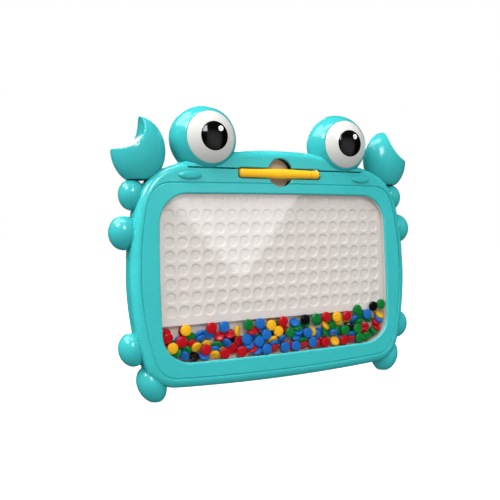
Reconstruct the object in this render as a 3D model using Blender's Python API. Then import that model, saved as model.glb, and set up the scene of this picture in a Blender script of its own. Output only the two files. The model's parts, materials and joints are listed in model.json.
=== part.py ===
"""Crab-shaped magnetic bead drawing board: a free-standing plastic toy with a clear window, a dimpled
board, coloured magnetic discs and a pull-out magnetic pen.

Frame: metres, +Z up, +X to the viewer's right, the front looks along -Y, the feet stand on Z = 0 and the
origin is under the middle of the toy. All constants below are in millimetres. Depths are measured from a
plane just behind the face of the dimpled board, and the whole toy is then moved by PLACE_Y to centre it.
"""

import math

import bmesh
import bpy
import numpy as np
from mathutils import Matrix, Vector

MM = 0.001
GAP = 0.3

# Depths, front to back
PLACE_Y = -2.75
FRONT_Y = -6.5
PLATE_T = 1.5
WINDOW_Y = -4.7
WINDOW_T = 0.8
TRAY_FRONT_Y = -3.6
TRAY_BACK_Y = 5.6
LAND_Y = -0.5
DIMPLE_DEPTH = 1.0
SEAM_Y = 9.5
BACK_Y = 25.7
WALL_T = 2.0

# Outline of the case, seen from the front
CENTRE_Z = 100.0
BODY_HALF_W = 137.1
BODY_WIDE_Z = 101.0
BODY_SIDE_R = 262.0
BODY_BOTTOM_Z = 7.6
BODY_BOTTOM_R = 1770.0
BODY_CORNER_R = 28.0
CROWN_TOP_Z = 210.2
SHOULDER = ((137.1, 101.0), (135.4, 131.0), (132.6, 150.0), (129.4, 164.0), (123.4, 177.6), (115.6, 186.4),
            (105.5, 192.7), (96.0, 196.0), (84.0, 199.2), (62.0, 204.6), (36.0, 208.9), (12.0, 210.2))
RIM_R = 7.0
BACK_RIM_R = 13.0

# The line pressed into the front face, and the window opening
LINE_HALF_W = 129.4
LINE_WIDE_Z = 104.0
LINE_SIDE_R = 256.0
LINE_TOP_Z = 180.0
LINE_BOTTOM_Z = 15.9
LINE_CORNER_R = 20.5
LINE_W = 0.5
LINE_DEPTH = 0.55
OPEN_HALF_W = 113.6
OPEN_WIDE_Z = 95.0
OPEN_SIDE_R = 1500.0
OPEN_TOP_Z = 171.0
OPEN_BOTTOM_Z = 29.8
OPEN_CORNER_R = 25.0
LIP_R = 1.5

# Dimpled board
PITCH = 11.5
COLUMNS = 19
ROWS = 9
TOP_ROW_COLUMNS = 15
DIMPLE_R = 4.7
ROW_LOW_Z = 73.0
BOARD_BOTTOM_Z = 61.5
BOARD_T = 2.2

# Discs
DISC_R = 4.8
DISC_T = 3.0
DISC_REST_Z = 57.4
LOOSE_DISCS = ((-8, 7, "yellow"), (-6, 5, "red"), (-5, 4, "blue"), (-3, 3, "green"), (-2, 2, "blue"),
               (0, 2, "red"), (2, 2, "black"), (3, 3, "green"), (5, 4, "yellow"), (6, 5, "red"), (8, 7, "blue"))

# Crown, pen bay and pen
CUT_Z = 192.7
CUT_GAP = 1.0
CUT_HALF_W = 87.0
PEN_Z = 189.2
PEN_Y = -4.6
PEN_HALF_L = 40.2
PEN_R = 3.8
PEN_BELLY = 0.75
PEN_BELLY_L = 15.0
SLOT_HALF_L = 41.4
SLOT_HALF_H = 4.75
WELL_R = 12.6
WELL_Z = 190.2
WELL_FLOOR_Y = 3.2
CRADLE_Y = 0.5
PEN_PULL = 60.0

# Cheeks
CHEEK_X = 85.8
CHEEK_Z = 185.9
CHEEK_SEMI = (10.3, 1.7, 3.4)

# Eyes
EYE_X = 68.1
EYE_Y = 9.2
EYE_Z = 218.4
EYE_R = 29.4
EYE_BACK_SEMI = 16.2
EYE_TURN = math.radians(2.0)
EYE_CUT = 19.2
PUPIL_R = 12.15
PUPIL_T = 1.6
GLINT_R = 2.3
GLINT_OFFSET = (5.0, 6.1)

# Claws, arms, legs and feet: (x, y, z), semi-axes, lean outwards in degrees
CLAW_C = (125.3, 7.0, 207.0)
CLAW_SEMI = (22.6, 17.0, 28.0)
CLAW_FLAT_Z = 182.6
BITE_C = (143.0, 227.0)
BITE_R = 20.5
ARM = ((131.0, 9.3, 170.5), (11.2, 12.0, 13.0), 0.0)
LEG_UPPER = ((138.9, 9.5, 139.5), (12.2, 13.0, 14.2), 0.0)
LEG_LOWER = ((134.5, 9.5, 44.0), (11.4, 12.5, 14.0), 12.0)
FOOT = ((119.7, 8.6, 14.2), (11.5, 14.0, 16.0), 25.0)

# Rear screws
SCREW_X_Z = ((125.6, 62.0), (125.6, 132.0), (62.0, 17.9), (50.0, 186.0))
POST_R = 4.6
SCREW_HEAD_R = 3.0
SCREW_HEAD_T = 1.8
SCREW_SHANK_R = 1.5
SCREW_L = 11.0

TEAL = (0.03, 0.52, 0.54, 1.0)
WHITE = (0.82, 0.80, 0.76, 1.0)
DISC_COLOURS = {
    "red": (0.55, 0.01, 0.02, 1.0),
    "blue": (0.02, 0.15, 0.50, 1.0),
    "green": (0.01, 0.25, 0.05, 1.0),
    "yellow": (0.85, 0.50, 0.03, 1.0),
    "black": (0.01, 0.01, 0.012, 1.0),
}


def clear_scene():
    """Removes whatever the scene holds."""
    for obj in list(bpy.data.objects):
        bpy.data.objects.remove(obj, do_unlink=True)


def material(name, colour, roughness, metallic=0.0, alpha=1.0):
    """A Principled material, made once for each name."""
    found = bpy.data.materials.get(name)
    if found:
        return found
    made = bpy.data.materials.new(name)
    made.use_nodes = True
    shader = made.node_tree.nodes["Principled BSDF"]
    shader.inputs["Base Color"].default_value = colour
    shader.inputs["Roughness"].default_value = roughness
    shader.inputs["Metallic"].default_value = metallic
    shader.inputs["Alpha"].default_value = alpha
    made.diffuse_color = colour
    return made


def add_object(name, bm, mat, origin=(0.0, 0.0, 0.0), sharp=35.0, cutter=False):
    """Turns a bmesh in millimetres into an object in metres whose own origin is at origin."""
    pivot = Vector(origin) + Vector((0.0, PLACE_Y, 0.0)) if any(origin) else Vector()
    bmesh.ops.transform(bm, matrix=Matrix.Translation(Vector((0.0, PLACE_Y, 0.0)) - pivot), verts=bm.verts)
    bmesh.ops.scale(bm, vec=(MM, MM, MM), verts=bm.verts)
    bmesh.ops.recalc_face_normals(bm, faces=bm.faces)
    if bm.calc_volume(signed=True) < 0:
        bmesh.ops.reverse_faces(bm, faces=bm.faces)
    mesh = bpy.data.meshes.new(name)
    bm.to_mesh(mesh)
    bm.free()
    mesh.shade_smooth()
    mesh.set_sharp_from_angle(angle=math.radians(sharp))
    mesh.materials.append(mat)
    obj = bpy.data.objects.new(name, mesh)
    obj.location = pivot * MM
    bpy.context.scene.collection.objects.link(obj)
    if cutter:
        obj.hide_render = True
        obj.display_type = "WIRE"
    return obj


def boolean(obj, other, operation="DIFFERENCE"):
    """Adds an exact Boolean modifier."""
    modifier = obj.modifiers.new(f"{operation.lower()}_{other.name}", "BOOLEAN")
    modifier.operation = operation
    modifier.solver = "EXACT"
    modifier.object = other


# Outlines -----------------------------------------------------------------------------------------------


def arc(centre, radius, start, end, count):
    """Points along a circular arc, angles in radians."""
    angles = np.linspace(start, end, count)
    return np.stack([centre[0] + radius * np.cos(angles), centre[1] + radius * np.sin(angles)], 1)


def circles_meet(c1, r1, c2, r2, to_right=True):
    """Where two circles cross, on the right side or the left."""
    c1, c2 = np.array(c1), np.array(c2)
    gap = c2 - c1
    span = float(np.hypot(*gap))
    along = (r1 * r1 - r2 * r2 + span * span) / (2 * span)
    high = math.sqrt(max(r1 * r1 - along * along, 0.0))
    unit = gap / span
    normal = np.array([-unit[1], unit[0]])
    options = sorted((c1 + along * unit + s * high * normal for s in (-1, 1)), key=lambda p: p[0])
    return options[1 if to_right else 0]


def corner(side_c, side_r, edge_c, edge_r, radius):
    """Fillet between a side arc and a top or bottom arc: its centre and its two tangent angles."""
    centre = circles_meet(side_c, side_r - radius, edge_c, edge_r - radius)
    to_side = centre - np.array(side_c)
    to_edge = centre - np.array(edge_c)
    return centre, math.atan2(to_side[1], to_side[0]), math.atan2(to_edge[1], to_edge[0])


def barrel(half_w, wide_z, side_r, top_z, bottom_z, bottom_r, top_corner, bottom_corner):
    """Right half of a rounded oblong with bowed sides, from bottom centre to top centre."""
    side_c = (half_w - side_r, wide_z)
    bottom_c = (0.0, bottom_z + bottom_r)
    top_r = 9000.0
    top_c = (0.0, top_z - top_r)
    low_c, low_side, low_edge = corner(side_c, side_r, bottom_c, bottom_r, bottom_corner)
    high_c, high_side, high_edge = corner(side_c, side_r, top_c, top_r, top_corner)
    points = [
        arc(bottom_c, bottom_r, -math.pi / 2, low_edge, 60),
        arc(low_c, bottom_corner, low_edge, low_side, 60)[1:],
        arc(side_c, side_r, low_side, high_side, 90)[1:],
        arc(high_c, top_corner, high_side, high_edge, 60)[1:],
        arc(top_c, top_r, high_edge, math.pi / 2, 60)[1:],
    ]
    return np.concatenate(points)


def smooth_through(points, per_span=24):
    """A centripetal Catmull-Rom curve through the points."""
    points = np.asarray(points, float)
    first = 2 * points[0] - points[1]
    last = points[-1] * np.array([-1.0, 1.0])
    p = np.concatenate([[first], points, [last]])
    out = []
    for i in range(1, len(p) - 2):
        knots = [0.0]
        for a, b in ((i - 1, i), (i, i + 1), (i + 1, i + 2)):
            knots.append(knots[-1] + float(np.hypot(*(p[b] - p[a]))) ** 0.5)
        t = np.linspace(knots[1], knots[2], per_span, endpoint=False)[:, None]
        a1 = (knots[1] - t) / (knots[1] - knots[0]) * p[i - 1] + (t - knots[0]) / (knots[1] - knots[0]) * p[i]
        a2 = (knots[2] - t) / (knots[2] - knots[1]) * p[i] + (t - knots[1]) / (knots[2] - knots[1]) * p[i + 1]
        a3 = (knots[3] - t) / (knots[3] - knots[2]) * p[i + 1] + (t - knots[2]) / (knots[3] - knots[2]) * p[i + 2]
        b1 = (knots[2] - t) / (knots[2] - knots[0]) * a1 + (t - knots[0]) / (knots[2] - knots[0]) * a2
        b2 = (knots[3] - t) / (knots[3] - knots[1]) * a2 + (t - knots[1]) / (knots[3] - knots[1]) * a3
        out.append((knots[2] - t) / (knots[2] - knots[1]) * b1 + (t - knots[1]) / (knots[2] - knots[1]) * b2)
    return np.concatenate(out)


def mirrored(half):
    """Closes a right half into a whole counter-clockwise outline."""
    left = half[::-1] * np.array([-1.0, 1.0])
    whole = np.concatenate([half, left])
    keep = np.hypot(*(whole - np.roll(whole, 1, axis=0)).T) > 1e-6
    return whole[keep]


def body_outline():
    """Widest outline of the case: bowed sides, rounded bottom corners, sloping shoulders and arched crown."""
    side_c = (BODY_HALF_W - BODY_SIDE_R, BODY_WIDE_Z)
    bottom_c = (0.0, BODY_BOTTOM_Z + BODY_BOTTOM_R)
    low_c, low_side, low_edge = corner(side_c, BODY_SIDE_R, bottom_c, BODY_BOTTOM_R, BODY_CORNER_R)
    top = np.array([(0.0, CROWN_TOP_Z)])
    half = np.concatenate([
        arc(bottom_c, BODY_BOTTOM_R, -math.pi / 2, low_edge, 60),
        arc(low_c, BODY_CORNER_R, low_edge, low_side, 60)[1:],
        arc(side_c, BODY_SIDE_R, low_side, 0.0, 60)[1:-1],
        smooth_through(SHOULDER),
        top,
    ])
    return mirrored(half)


def line_outline():
    """Outline of the pressed line on the front face."""
    return mirrored(barrel(LINE_HALF_W, LINE_WIDE_Z, LINE_SIDE_R, LINE_TOP_Z, LINE_BOTTOM_Z, BODY_BOTTOM_R,
                           LINE_CORNER_R, LINE_CORNER_R))


def opening_outline():
    """Outline of the window opening."""
    return mirrored(barrel(OPEN_HALF_W, OPEN_WIDE_Z, OPEN_SIDE_R, OPEN_TOP_Z, OPEN_BOTTOM_Z, 4000.0,
                           OPEN_CORNER_R, OPEN_CORNER_R))


def offset(outline, inwards):
    """The outline moved inwards along its own normals."""
    ahead = np.roll(outline, -1, axis=0) - np.roll(outline, 1, axis=0)
    normal = np.stack([-ahead[:, 1], ahead[:, 0]], 1)
    normal /= np.hypot(*normal.T)[:, None]
    return outline + inwards * normal


def at_angles(outline, angles):
    """Points where rays from the case's centre cross the outline."""
    rel = outline - np.array([0.0, CENTRE_Z])
    polar = np.unwrap(np.arctan2(rel[:, 1], rel[:, 0]))
    radius = np.hypot(*rel.T)
    order = np.argsort(polar)
    polar, radius = polar[order], radius[order]
    wrapped = np.concatenate([polar - 2 * math.pi, polar, polar + 2 * math.pi])
    found = np.interp(angles, wrapped, np.tile(radius, 3))
    return np.stack([found * np.cos(angles), CENTRE_Z + found * np.sin(angles)], 1)


def ray_angles(count):
    """Ray angles that bunch up at the corners of the opening, where the outlines turn."""
    outline = opening_outline()
    step = np.roll(outline, -1, axis=0) - outline
    length = np.hypot(*step.T)
    heading = np.unwrap(np.arctan2(step[:, 1], step[:, 0]))
    turn = np.abs(np.diff(heading, append=heading[0] + 2 * math.pi))
    weight = length / 30.0 + turn * 5.2
    total = np.cumsum(weight)
    marks = (np.arange(count) + 0.5) / count * total[-1]
    index = np.searchsorted(total, marks)
    rel = outline[index % len(outline)] - np.array([0.0, CENTRE_Z])
    return np.sort(np.unwrap(np.arctan2(rel[:, 1], rel[:, 0])))


# Solids -------------------------------------------------------------------------------------------------


def rings_to_bmesh(rings, closed):
    """Skins a list of equal rings. A closed list joins its last ring to its first; an open one gets end caps."""
    bm = bmesh.new()
    made = [[bm.verts.new(point) for point in ring] for ring in rings]
    pairs = list(zip(made, made[1:] + made[:1])) if closed else list(zip(made, made[1:]))
    for first, second in pairs:
        for j in range(len(first)):
            k = (j + 1) % len(first)
            bm.faces.new((first[j], first[k], second[k], second[j]))
    if not closed:
        bm.faces.new(made[0][::-1])
        bm.faces.new(made[-1])
    return bm


def ring_of(points, y):
    """Lifts outline points to depth y."""
    return [(float(x), float(y), float(z)) for x, z in points]


def plate(points, y_front, y_back):
    """A flat plate with the given outline."""
    return rings_to_bmesh([ring_of(points, y_front), ring_of(points, y_back)], closed=False)


def ellipsoid(centre, semi, lean=0.0, segments=16, rings=10):
    """A closed ellipsoid whose poles lie along Y; lean turns its top outwards on the side where it sits."""
    bm = bmesh.new()
    bmesh.ops.create_uvsphere(bm, u_segments=segments, v_segments=rings, radius=1.0)
    side = 1.0 if centre[0] > 0 else -1.0
    place = (Matrix.Translation(centre) @ Matrix.Rotation(math.radians(lean) * side, 4, "Y")
             @ Matrix.Diagonal((*semi, 1.0)) @ Matrix.Rotation(math.pi / 2, 4, "X"))
    bmesh.ops.transform(bm, matrix=place, verts=bm.verts)
    return bm


def turned(profile, segments, place):
    """Turns (radius, height) points about the local Z axis, closing both ends on it, then places the result."""
    rings = []
    for radius, height in profile:
        rings.append([(radius * math.cos(2 * math.pi * j / segments), radius * math.sin(2 * math.pi * j / segments),
                       height) for j in range(segments)])
    bm = rings_to_bmesh(rings, closed=False)
    bmesh.ops.transform(bm, matrix=place, verts=bm.verts)
    return bm


def box(low, high):
    """An axis-aligned box."""
    corners = [(low[0], low[2]), (high[0], low[2]), (high[0], high[2]), (low[0], high[2])]
    return plate(corners, low[1], high[1])


def along_y(x, y, z, forwards=True):
    """Places a turned piece with its height along -Y, or along +Y."""
    turn = Matrix.Rotation(math.pi / 2 if forwards else -math.pi / 2, 4, "X")
    return Matrix.Translation((x, y, z)) @ turn


def circle_points(x, z, radius, count, phase=0.0):
    """Points on a circle in the front plane."""
    return [(x + radius * math.cos(2 * math.pi * (j + phase) / count),
             z + radius * math.sin(2 * math.pi * (j + phase) / count)) for j in range(count)]


def bay_points(grow):
    """Outline of the pen slot with the round finger well across its middle."""
    half_l, half_h, well = SLOT_HALF_L + grow, SLOT_HALF_H + grow, WELL_R + grow
    round_r = 2.2 + grow
    points = []
    for start, x, z in ((270, 1, -1), (0, 1, 1), (90, -1, 1), (180, -1, -1)):
        if start == 90:
            high = math.asin((PEN_Z + half_h - WELL_Z) / well)
            points.extend(arc((0.0, WELL_Z), well, high, math.pi - high, 13).tolist())
        for degrees in (0, 45, 90):
            angle = math.radians(start + degrees)
            points.append([x * (half_l - round_r) + round_r * math.cos(angle),
                           PEN_Z + z * (half_h - round_r) + round_r * math.sin(angle)])
        if start == 180:
            low = math.asin((WELL_Z - PEN_Z + half_h) / well)
            points.extend(arc((0.0, WELL_Z), well, math.pi + low, 2 * math.pi - low, 13).tolist())
    return points


# The case -----------------------------------------------------------------------------------------------


def front_rings(angles):
    """Rings of the whole front half: rim, pressed line, front face, lip of the opening and the inner side."""
    body, line, hole = body_outline(), line_outline(), opening_outline()
    rim_y = FRONT_Y + RIM_R
    steps = [(body, 0.0, SEAM_Y - GAP / 2), (body, 0.0, rim_y)]
    for degrees in (30, 60, 90):
        angle = math.radians(degrees)
        steps.append((body, RIM_R * (1 - math.cos(angle)), rim_y - RIM_R * math.sin(angle)))
    steps += [(line, -LINE_W, FRONT_Y), (line, 0.0, FRONT_Y + LINE_DEPTH), (line, LINE_W, FRONT_Y)]
    for degrees in (0, 45, 90):
        angle = math.radians(degrees)
        steps.append((hole, -LIP_R * (1 - math.sin(angle)), FRONT_Y + LIP_R * (1 - math.cos(angle))))
    steps += [
        (hole, -5.6, FRONT_Y + PLATE_T),
        (body, 5.2, FRONT_Y + 2.6),
        (body, WALL_T, FRONT_Y + RIM_R),
        (body, WALL_T, SEAM_Y - GAP / 2),
    ]
    return [ring_of(at_angles(offset(curve, inwards), angles), y) for curve, inwards, y in steps]


def rear_rings(angles):
    """Rings of the rear half, a shallow bowl with a flat back."""
    body = body_outline()
    rim_y = BACK_Y - BACK_RIM_R
    outer = [(0.0, SEAM_Y + GAP / 2), (0.0, rim_y)]
    inner = [(WALL_T, SEAM_Y + GAP / 2), (WALL_T, rim_y)]
    for degrees in (30, 60, 90):
        angle = math.radians(degrees)
        outer.append((BACK_RIM_R * (1 - math.cos(angle)), rim_y + BACK_RIM_R * math.sin(angle)))
        inner.append((BACK_RIM_R - (BACK_RIM_R - WALL_T) * math.cos(angle),
                      rim_y + (BACK_RIM_R - WALL_T) * math.sin(angle)))
    steps = outer[::-1] + inner
    return [ring_of(at_angles(offset(body, inwards), angles), y) for inwards, y in steps]


def envelope_rings(angles, grow):
    """Rings of the case as one solid, a little larger, to seat the pieces that are joined to it."""
    body = body_outline()
    front, back = FRONT_Y + RIM_R, BACK_Y - BACK_RIM_R
    steps = [(RIM_R, FRONT_Y - grow), (RIM_R * 0.5, FRONT_Y + RIM_R * 0.134 - grow),
             (RIM_R * 0.134, FRONT_Y + RIM_R * 0.5 - grow), (0.0, front), (0.0, back),
             (BACK_RIM_R * 0.134, BACK_Y - BACK_RIM_R * 0.5 + grow),
             (BACK_RIM_R * 0.5, BACK_Y - BACK_RIM_R * 0.134 + grow), (BACK_RIM_R, BACK_Y + grow)]
    return [ring_of(at_angles(offset(body, inwards - grow), angles), y) for inwards, y in steps]


def crown_points(grow):
    """Front outline of the crown cover's region, above the cut and as far out as the eyes."""
    low = CUT_Z + CUT_GAP / 2 - (CUT_GAP if grow else 0.0)
    side = CUT_HALF_W + (GAP if grow else 0.0)
    return [(-side, low), (side, low), (side, 225.0), (-side, 225.0)]


def build_case(teal):
    """Front bezel, crown cover and rear shell, with every pocket cut in them."""
    angles = ray_angles(56)
    bezel = add_object("front_bezel", rings_to_bmesh(front_rings(angles), closed=True), teal)
    crown = add_object("crown_cover", rings_to_bmesh(front_rings(angles), closed=True), teal)
    rear = add_object("rear_shell", rings_to_bmesh(rear_rings(angles), closed=False), teal)
    for side in (-1, 1):
        cheek = add_object(f"cheek_{side}", ellipsoid((side * CHEEK_X, FRONT_Y + 0.1, CHEEK_Z), CHEEK_SEMI, 0.0, 14, 8),
                           teal, cutter=True)
        boolean(bezel, cheek, "UNION")
    remove = add_object("crown_remove", plate(crown_points(True), -20.0, SEAM_Y), teal, cutter=True)
    keep = add_object("crown_keep", plate(crown_points(False), -20.0, SEAM_Y + 5.0), teal, cutter=True)
    boolean(bezel, remove)
    boolean(crown, keep, "INTERSECT")
    bay = add_object("bay_cut", plate(bay_points(0.0), -20.0, 1.0), teal, cutter=True)
    boolean(bezel, bay)
    boolean(crown, bay)
    return bezel, crown, rear


def build_inner(white, clear):
    """Window sheet, bead tray, dimpled board and the floor of the pen bay."""
    angles = ray_angles(48)
    hole = opening_outline()
    sheet = at_angles(offset(hole, -4.6), angles)
    add_object("clear_window", plate(sheet, WINDOW_Y, WINDOW_Y + WINDOW_T), clear)
    inner = at_angles(offset(hole, -0.6), angles)
    outer = at_angles(offset(hole, -2.2), angles)
    rings = [ring_of(outer, TRAY_BACK_Y), ring_of(outer, TRAY_FRONT_Y), ring_of(inner, TRAY_FRONT_Y),
             ring_of(inner, TRAY_BACK_Y - 1.5)]
    add_object("bead_tray", rings_to_bmesh(rings, closed=False), white)
    build_board(white, at_angles(offset(hole, -0.2), angles), TRAY_BACK_Y - 1.5 - GAP)
    bay_floor = add_object("pen_cradle", plate(bay_points(0.6), CRADLE_Y, WELL_FLOOR_Y + 4.0), white)
    well = add_object("well_floor_cut", plate(circle_points(0.0, WELL_Z, WELL_R + 2.0, 24), -2.0, WELL_FLOOR_Y), white,
                      cutter=True)
    boolean(bay_floor, well)


def build_board(white, outline, back):
    """White board with its dimples and the ledge that closes it off above the discs."""
    upper = [tuple(p) for p in outline if p[1] > BOARD_BOTTOM_Z + 0.5]
    right = max(p[0] for p in upper)
    start = min(range(len(upper)), key=lambda i: (upper[i][0] < 0, upper[i][1]))
    upper = upper[start:] + upper[:start]
    points = [(-right, BOARD_BOTTOM_Z), (right, BOARD_BOTTOM_Z)] + upper
    board = add_object("dot_board", plate(points, LAND_Y, LAND_Y + BOARD_T), white)
    ledge = add_object("ledge", box((-right + 0.2, LAND_Y + 1.0, BOARD_BOTTOM_Z), (right - 0.2, back, BOARD_BOTTOM_Z + 2.0)),
                       white, cutter=True)
    boolean(board, ledge, "UNION")
    cut = bmesh.new()
    for row in range(ROWS):
        count = TOP_ROW_COLUMNS if row == ROWS - 1 else COLUMNS
        for column in range(count):
            x = (column - (count - 1) / 2) * PITCH
            z = ROW_LOW_Z + row * PITCH
            points = circle_points(x, z, DIMPLE_R, 6, 0.5)
            front = [cut.verts.new((px, LAND_Y - 2.0, pz)) for px, pz in points]
            floor = [cut.verts.new((px, LAND_Y + DIMPLE_DEPTH, pz)) for px, pz in points]
            cut.faces.new(front[::-1])
            cut.faces.new(floor)
            for j in range(len(points)):
                k = (j + 1) % len(points)
                cut.faces.new((front[j], front[k], floor[k], floor[j]))
    dimples = add_object("dimple_cut", cut, white, cutter=True)
    boolean(board, dimples)


# The crab -----------------------------------------------------------------------------------------------


def eye_frame(side):
    """Local frame of an eye: +Z runs out of the pupil, turned a little inwards and downwards."""
    look = Vector((-side * math.sin(EYE_TURN), -1.0, -math.sin(EYE_TURN))).normalized()
    across = Vector((1.0, 0.0, 0.0))
    across = (across - across.dot(look) * look).normalized()
    up = across.cross(look)
    up = -up if up.z < 0 else up
    turn = Matrix((across, up, look)).transposed().to_4x4()
    if turn.determinant() < 0:
        turn = Matrix((-across, up, look)).transposed().to_4x4()
    return Matrix.Translation((side * EYE_X, EYE_Y, EYE_Z)) @ turn


def cap_profile(radius, low, high, steps):
    """Profile of a slice of a sphere, from height low up to height high."""
    heights = np.linspace(math.acos(low / radius), math.acos(min(high / radius, 1.0)), steps)
    return [(radius * math.sin(a), radius * math.cos(a)) for a in heights]


def build_eyes(teal, white, black, shells):
    """Socket, eyeball, pupil and glint of both eyes, and their seats in the case."""
    rim = math.sqrt(EYE_R ** 2 - PUPIL_R ** 2)
    for side, word in ((-1, "left"), (1, "right")):
        place = eye_frame(side)
        seat = add_object(f"eye_seat_{word}", ellipsoid((side * EYE_X, EYE_Y, EYE_Z), (EYE_R + GAP,) * 3, 0.0, 20, 12),
                          teal, cutter=True)
        for shell in shells:
            boolean(shell, seat)
        ball = ellipsoid((side * EYE_X, EYE_Y, EYE_Z), (EYE_R,) * 3, 0.0, 20, 12)
        for vert in ball.verts:
            if vert.co.y > EYE_Y:
                vert.co.y = EYE_Y + (vert.co.y - EYE_Y) * EYE_BACK_SEMI / EYE_R
        socket = add_object(f"eye_socket_{word}", ball, teal)
        front = add_object(f"eye_front_{word}", turned([(40.0, EYE_CUT), (40.0, 45.0)], 16, place), teal, cutter=True)
        boolean(socket, front)
        profile = cap_profile(EYE_R, EYE_CUT + GAP, rim, 5)
        profile += [(PUPIL_R - 0.01, rim - PUPIL_T)]
        add_object(f"eyeball_{word}", turned(profile, 28, place), white)
        top = math.sqrt(EYE_R ** 2 - PUPIL_R ** 2)
        floor = top - PUPIL_T + GAP
        pupil_r = PUPIL_R - GAP
        crest = math.sqrt(EYE_R ** 2 - pupil_r ** 2)
        pupil = [(pupil_r, floor)] + cap_profile(EYE_R, crest, EYE_R - 0.01, 5)[:-1] + [(0.6, EYE_R)]
        pupil_obj = add_object(f"pupil_{word}", turned(pupil, 24, place), black)
        gx, gz = GLINT_OFFSET
        high = math.sqrt(EYE_R ** 2 - gx * gx - gz * gz)
        spot = place @ Matrix.Translation((0.0, 0.0, high))
        shift = Matrix.Translation((gx, 0.0, gz))
        spot = shift @ spot
        hollow = add_object(f"glint_cut_{word}", turned([(GLINT_R + GAP, -1.4), (GLINT_R + GAP, 4.0)], 14, spot), white,
                            cutter=True)
        boolean(pupil_obj, hollow)
        add_object(f"glint_{word}", turned([(GLINT_R, -1.1), (GLINT_R, -0.2), (GLINT_R - 0.5, 0.12)], 14, spot), white)


def build_limbs(teal):
    """Claws, arms, legs and feet, seated against the case."""
    case = add_object("case_envelope", rings_to_bmesh(envelope_rings(ray_angles(56), GAP), closed=False), teal, cutter=True)
    floor_cut = add_object("floor_cut", box((-200.0, -60.0, -40.0), (200.0, 80.0, 0.0)), teal, cutter=True)
    for side, word in ((-1, "left"), (1, "right")):
        def put(spec):
            (x, y, z), semi, lean = spec
            return ellipsoid((side * x, y, z), semi, lean)
        arm = add_object(f"arm_{word}", put(ARM), teal)
        for name, spec in (("leg_upper", LEG_UPPER), ("leg_lower", LEG_LOWER)):
            boolean(add_object(f"{name}_{word}", put(spec), teal), case)
        foot = add_object(f"foot_{word}", put(FOOT), teal)
        boolean(foot, case)
        boolean(foot, floor_cut)
        x, y, z = CLAW_C
        claw = add_object(f"claw_{word}", ellipsoid((side * x, y, z), CLAW_SEMI, 0.0, 24, 14), teal)
        bite = add_object(f"bite_{word}", plate(circle_points(side * BITE_C[0], BITE_C[1], BITE_R, 28), -40.0, 60.0), teal,
                          cutter=True)
        boolean(claw, bite)
        boolean(claw, case)
        flat = add_object(f"claw_flat_{word}", box((side * 130 - 60.0, -40.0, 120.0), (side * 130 + 60.0, 60.0, CLAW_FLAT_Z)),
                          teal, cutter=True)
        boolean(claw, flat)
        top = add_object(f"arm_flat_{word}", box((side * 130 - 60.0, -40.0, CLAW_FLAT_Z - GAP),
                                                 (side * 130 + 60.0, 60.0, 260.0)), teal, cutter=True)
        boolean(arm, case)
        boolean(arm, top)


# Loose pieces -------------------------------------------------------------------------------------------


def disc_profile(radius, thick, edge=0.7):
    """Profile of a flat disc with rounded edges, centred on its own middle."""
    half = thick / 2
    return [(radius - edge, -half), (radius, -half + edge), (radius, half - edge), (radius - edge, half)]


def build_discs():
    """The heap of discs in the tray as one solid, and the loose discs standing on it."""
    hole = offset(opening_outline(), 0.5)
    angles = ray_angles(48)
    outline = at_angles(hole, angles)
    low = [tuple(p) for p in outline if p[1] < 49.0]
    start = min(range(len(low)), key=lambda i: (low[i][0] > 0, -low[i][1]))
    low = low[start:] + low[:start]
    top_z = DISC_REST_Z - DISC_R - GAP
    side = max(point[0] for point in low) + 0.3
    points = low + [(side, top_z), (-side, top_z)]
    add_object("disc_heap", plate(points, -3.4, TRAY_BACK_Y - 2.0), material("disc_mixed", (0.3, 0.2, 0.1, 1.0), 0.35))
    for index, (column, _, colour) in enumerate(LOOSE_DISCS):
        x = column * PITCH
        y = (WINDOW_Y + WINDOW_T + LAND_Y) / 2
        mat = material(f"disc_{colour}", DISC_COLOURS[colour], 0.3)
        disc = turned(disc_profile(DISC_R, DISC_T), 12, along_y(x, y, DISC_REST_Z))
        add_object(f"disc_{index + 1:02d}_{colour}", disc, mat, origin=(x, y, DISC_REST_Z))


def pen_radius(x):
    """Radius of the pen at distance x from its middle."""
    return PEN_R + PEN_BELLY * math.exp(-((x / PEN_BELLY_L) ** 2))


def build_pen(yellow, steel):
    """Pen barrel with a magnet in its end and the cap that closes it."""
    place = Matrix.Translation((0.0, PEN_Y, PEN_Z)) @ Matrix.Rotation(math.pi / 2, 4, "Y")
    joint_x = 31.0
    ends = [(PEN_R - 2.2, -PEN_HALF_L), (PEN_R - 0.7, -PEN_HALF_L + 0.6), (PEN_R, -PEN_HALF_L + 2.2)]
    middle = [(pen_radius(x), x) for x in (-28.0, -18.0, -12.0, -6.0, 0.0, 6.0, 12.0, 18.0, 25.0)]
    socket = [(PEN_R, joint_x), (2.75, joint_x), (2.75, joint_x - 5.0)]
    add_object("pen_barrel", turned(ends + middle + socket, 18, place), yellow, origin=(0.0, PEN_Y, PEN_Z))
    add_object("pen_magnet", turned([(2.4, joint_x - 4.7), (2.4, joint_x + 2.7)], 14, place), steel, origin=(0.0, PEN_Y, PEN_Z))
    cap = [(2.7, joint_x + 3.0), (2.7, joint_x + GAP), (PEN_R, joint_x + GAP), (PEN_R, PEN_HALF_L - 2.2),
           (PEN_R - 0.7, PEN_HALF_L - 0.6), (PEN_R - 2.2, PEN_HALF_L)]
    add_object("pen_cap", turned(cap, 18, place), yellow, origin=(0.0, PEN_Y, PEN_Z))


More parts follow.
